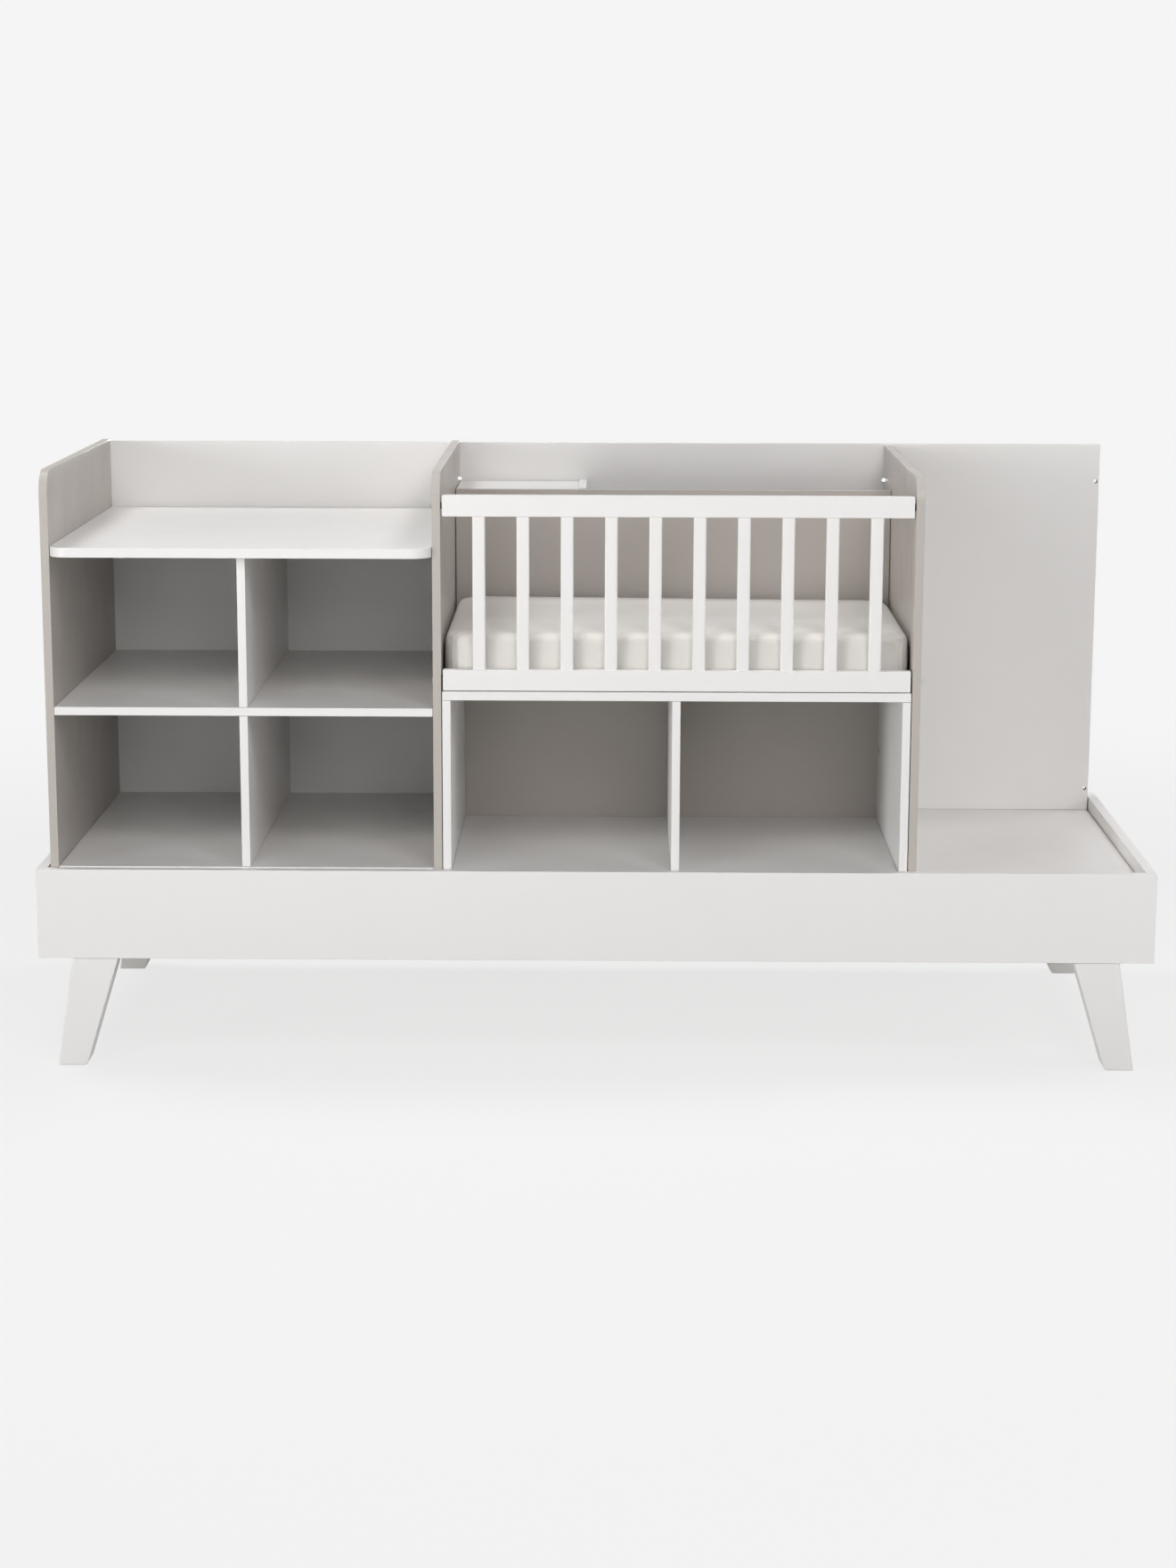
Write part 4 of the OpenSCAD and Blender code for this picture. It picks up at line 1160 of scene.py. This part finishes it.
# %% [markdown]
# ### Lamps
#
# All lamps are soft boxes aimed at the middle of the furniture. Each one's strength is
# given as the level that it would give a matt white board facing it, and the watts follow
# from its distance. The main light is low and far to the left, so that it reaches under
# the shelves, and two weak ones fill from the front. Three smaller boxes stand near the
# furniture, to the left, to the right and above. Two hang far overhead, just behind the
# tall back, and lift the level tops. One stands low behind, where the tall back hides it,
# and lights the furniture's rear. No box is seen by the camera.

# %% Lamps
AIM = Vector((0, 0, 0.6))


def lamp(name, place, size, level, colour):
    """A square soft box; its level is 1 where it alone would show a white board as white."""
    away = AIM - Vector(place)
    bpy.ops.object.light_add(type="AREA", location=place)
    box = bpy.context.object
    box.name = name
    box.data.size = size
    box.data.energy = level * math.pi**2 * away.length_squared
    box.data.color = linear(colour)[:3]
    box.visible_camera = False
    box.rotation_mode = "QUATERNION"
    box.rotation_quaternion = away.to_track_quat("-Z", "Y")
    print(name, round(box.data.energy), "W")


lamp("far_left_low", (-6, -6, 1.04), 2.4, 0.39, "#FFFFFF")
lamp("near_left", (-0.9, -2.0, 1.7), 0.8, 0.15, "#FFFFFF")
lamp("front_low", (-0.8, -8.4, 1.04), 2.4, 0.055, "#FFFFFF")
lamp("front_high", (1.39, -7.87, 3.51), 2.4, 0.12, "#FFFAF8")
lamp("near_high", (1.3, -3.5, 3.4), 1.2, 0.16, "#FDFCFF")
lamp("near_right", (2.8, -1.2, 1.3), 1.2, 0.20, "#FFFFFF")
lamp("left_overhead", (-3.4, 1.5, 8), 2.4, 0.37, "#FFFFFF")
lamp("right_overhead", (3.4, 1.5, 8), 2.4, 0.24, "#FFFBFA")
lamp("behind_low", (0, 7, 0.65), 1.2, 0.35, "#FFFFFF")

# %% [markdown]
# ## Clearing up
#
# The drills have done their work, so they go. The standard view shows each colour as it
# was written.

# %% Clear the drills and set the view
for drill_bit in drills.values():
    bpy.data.objects.remove(drill_bit)
bpy.context.scene.view_settings.view_transform = "Standard"
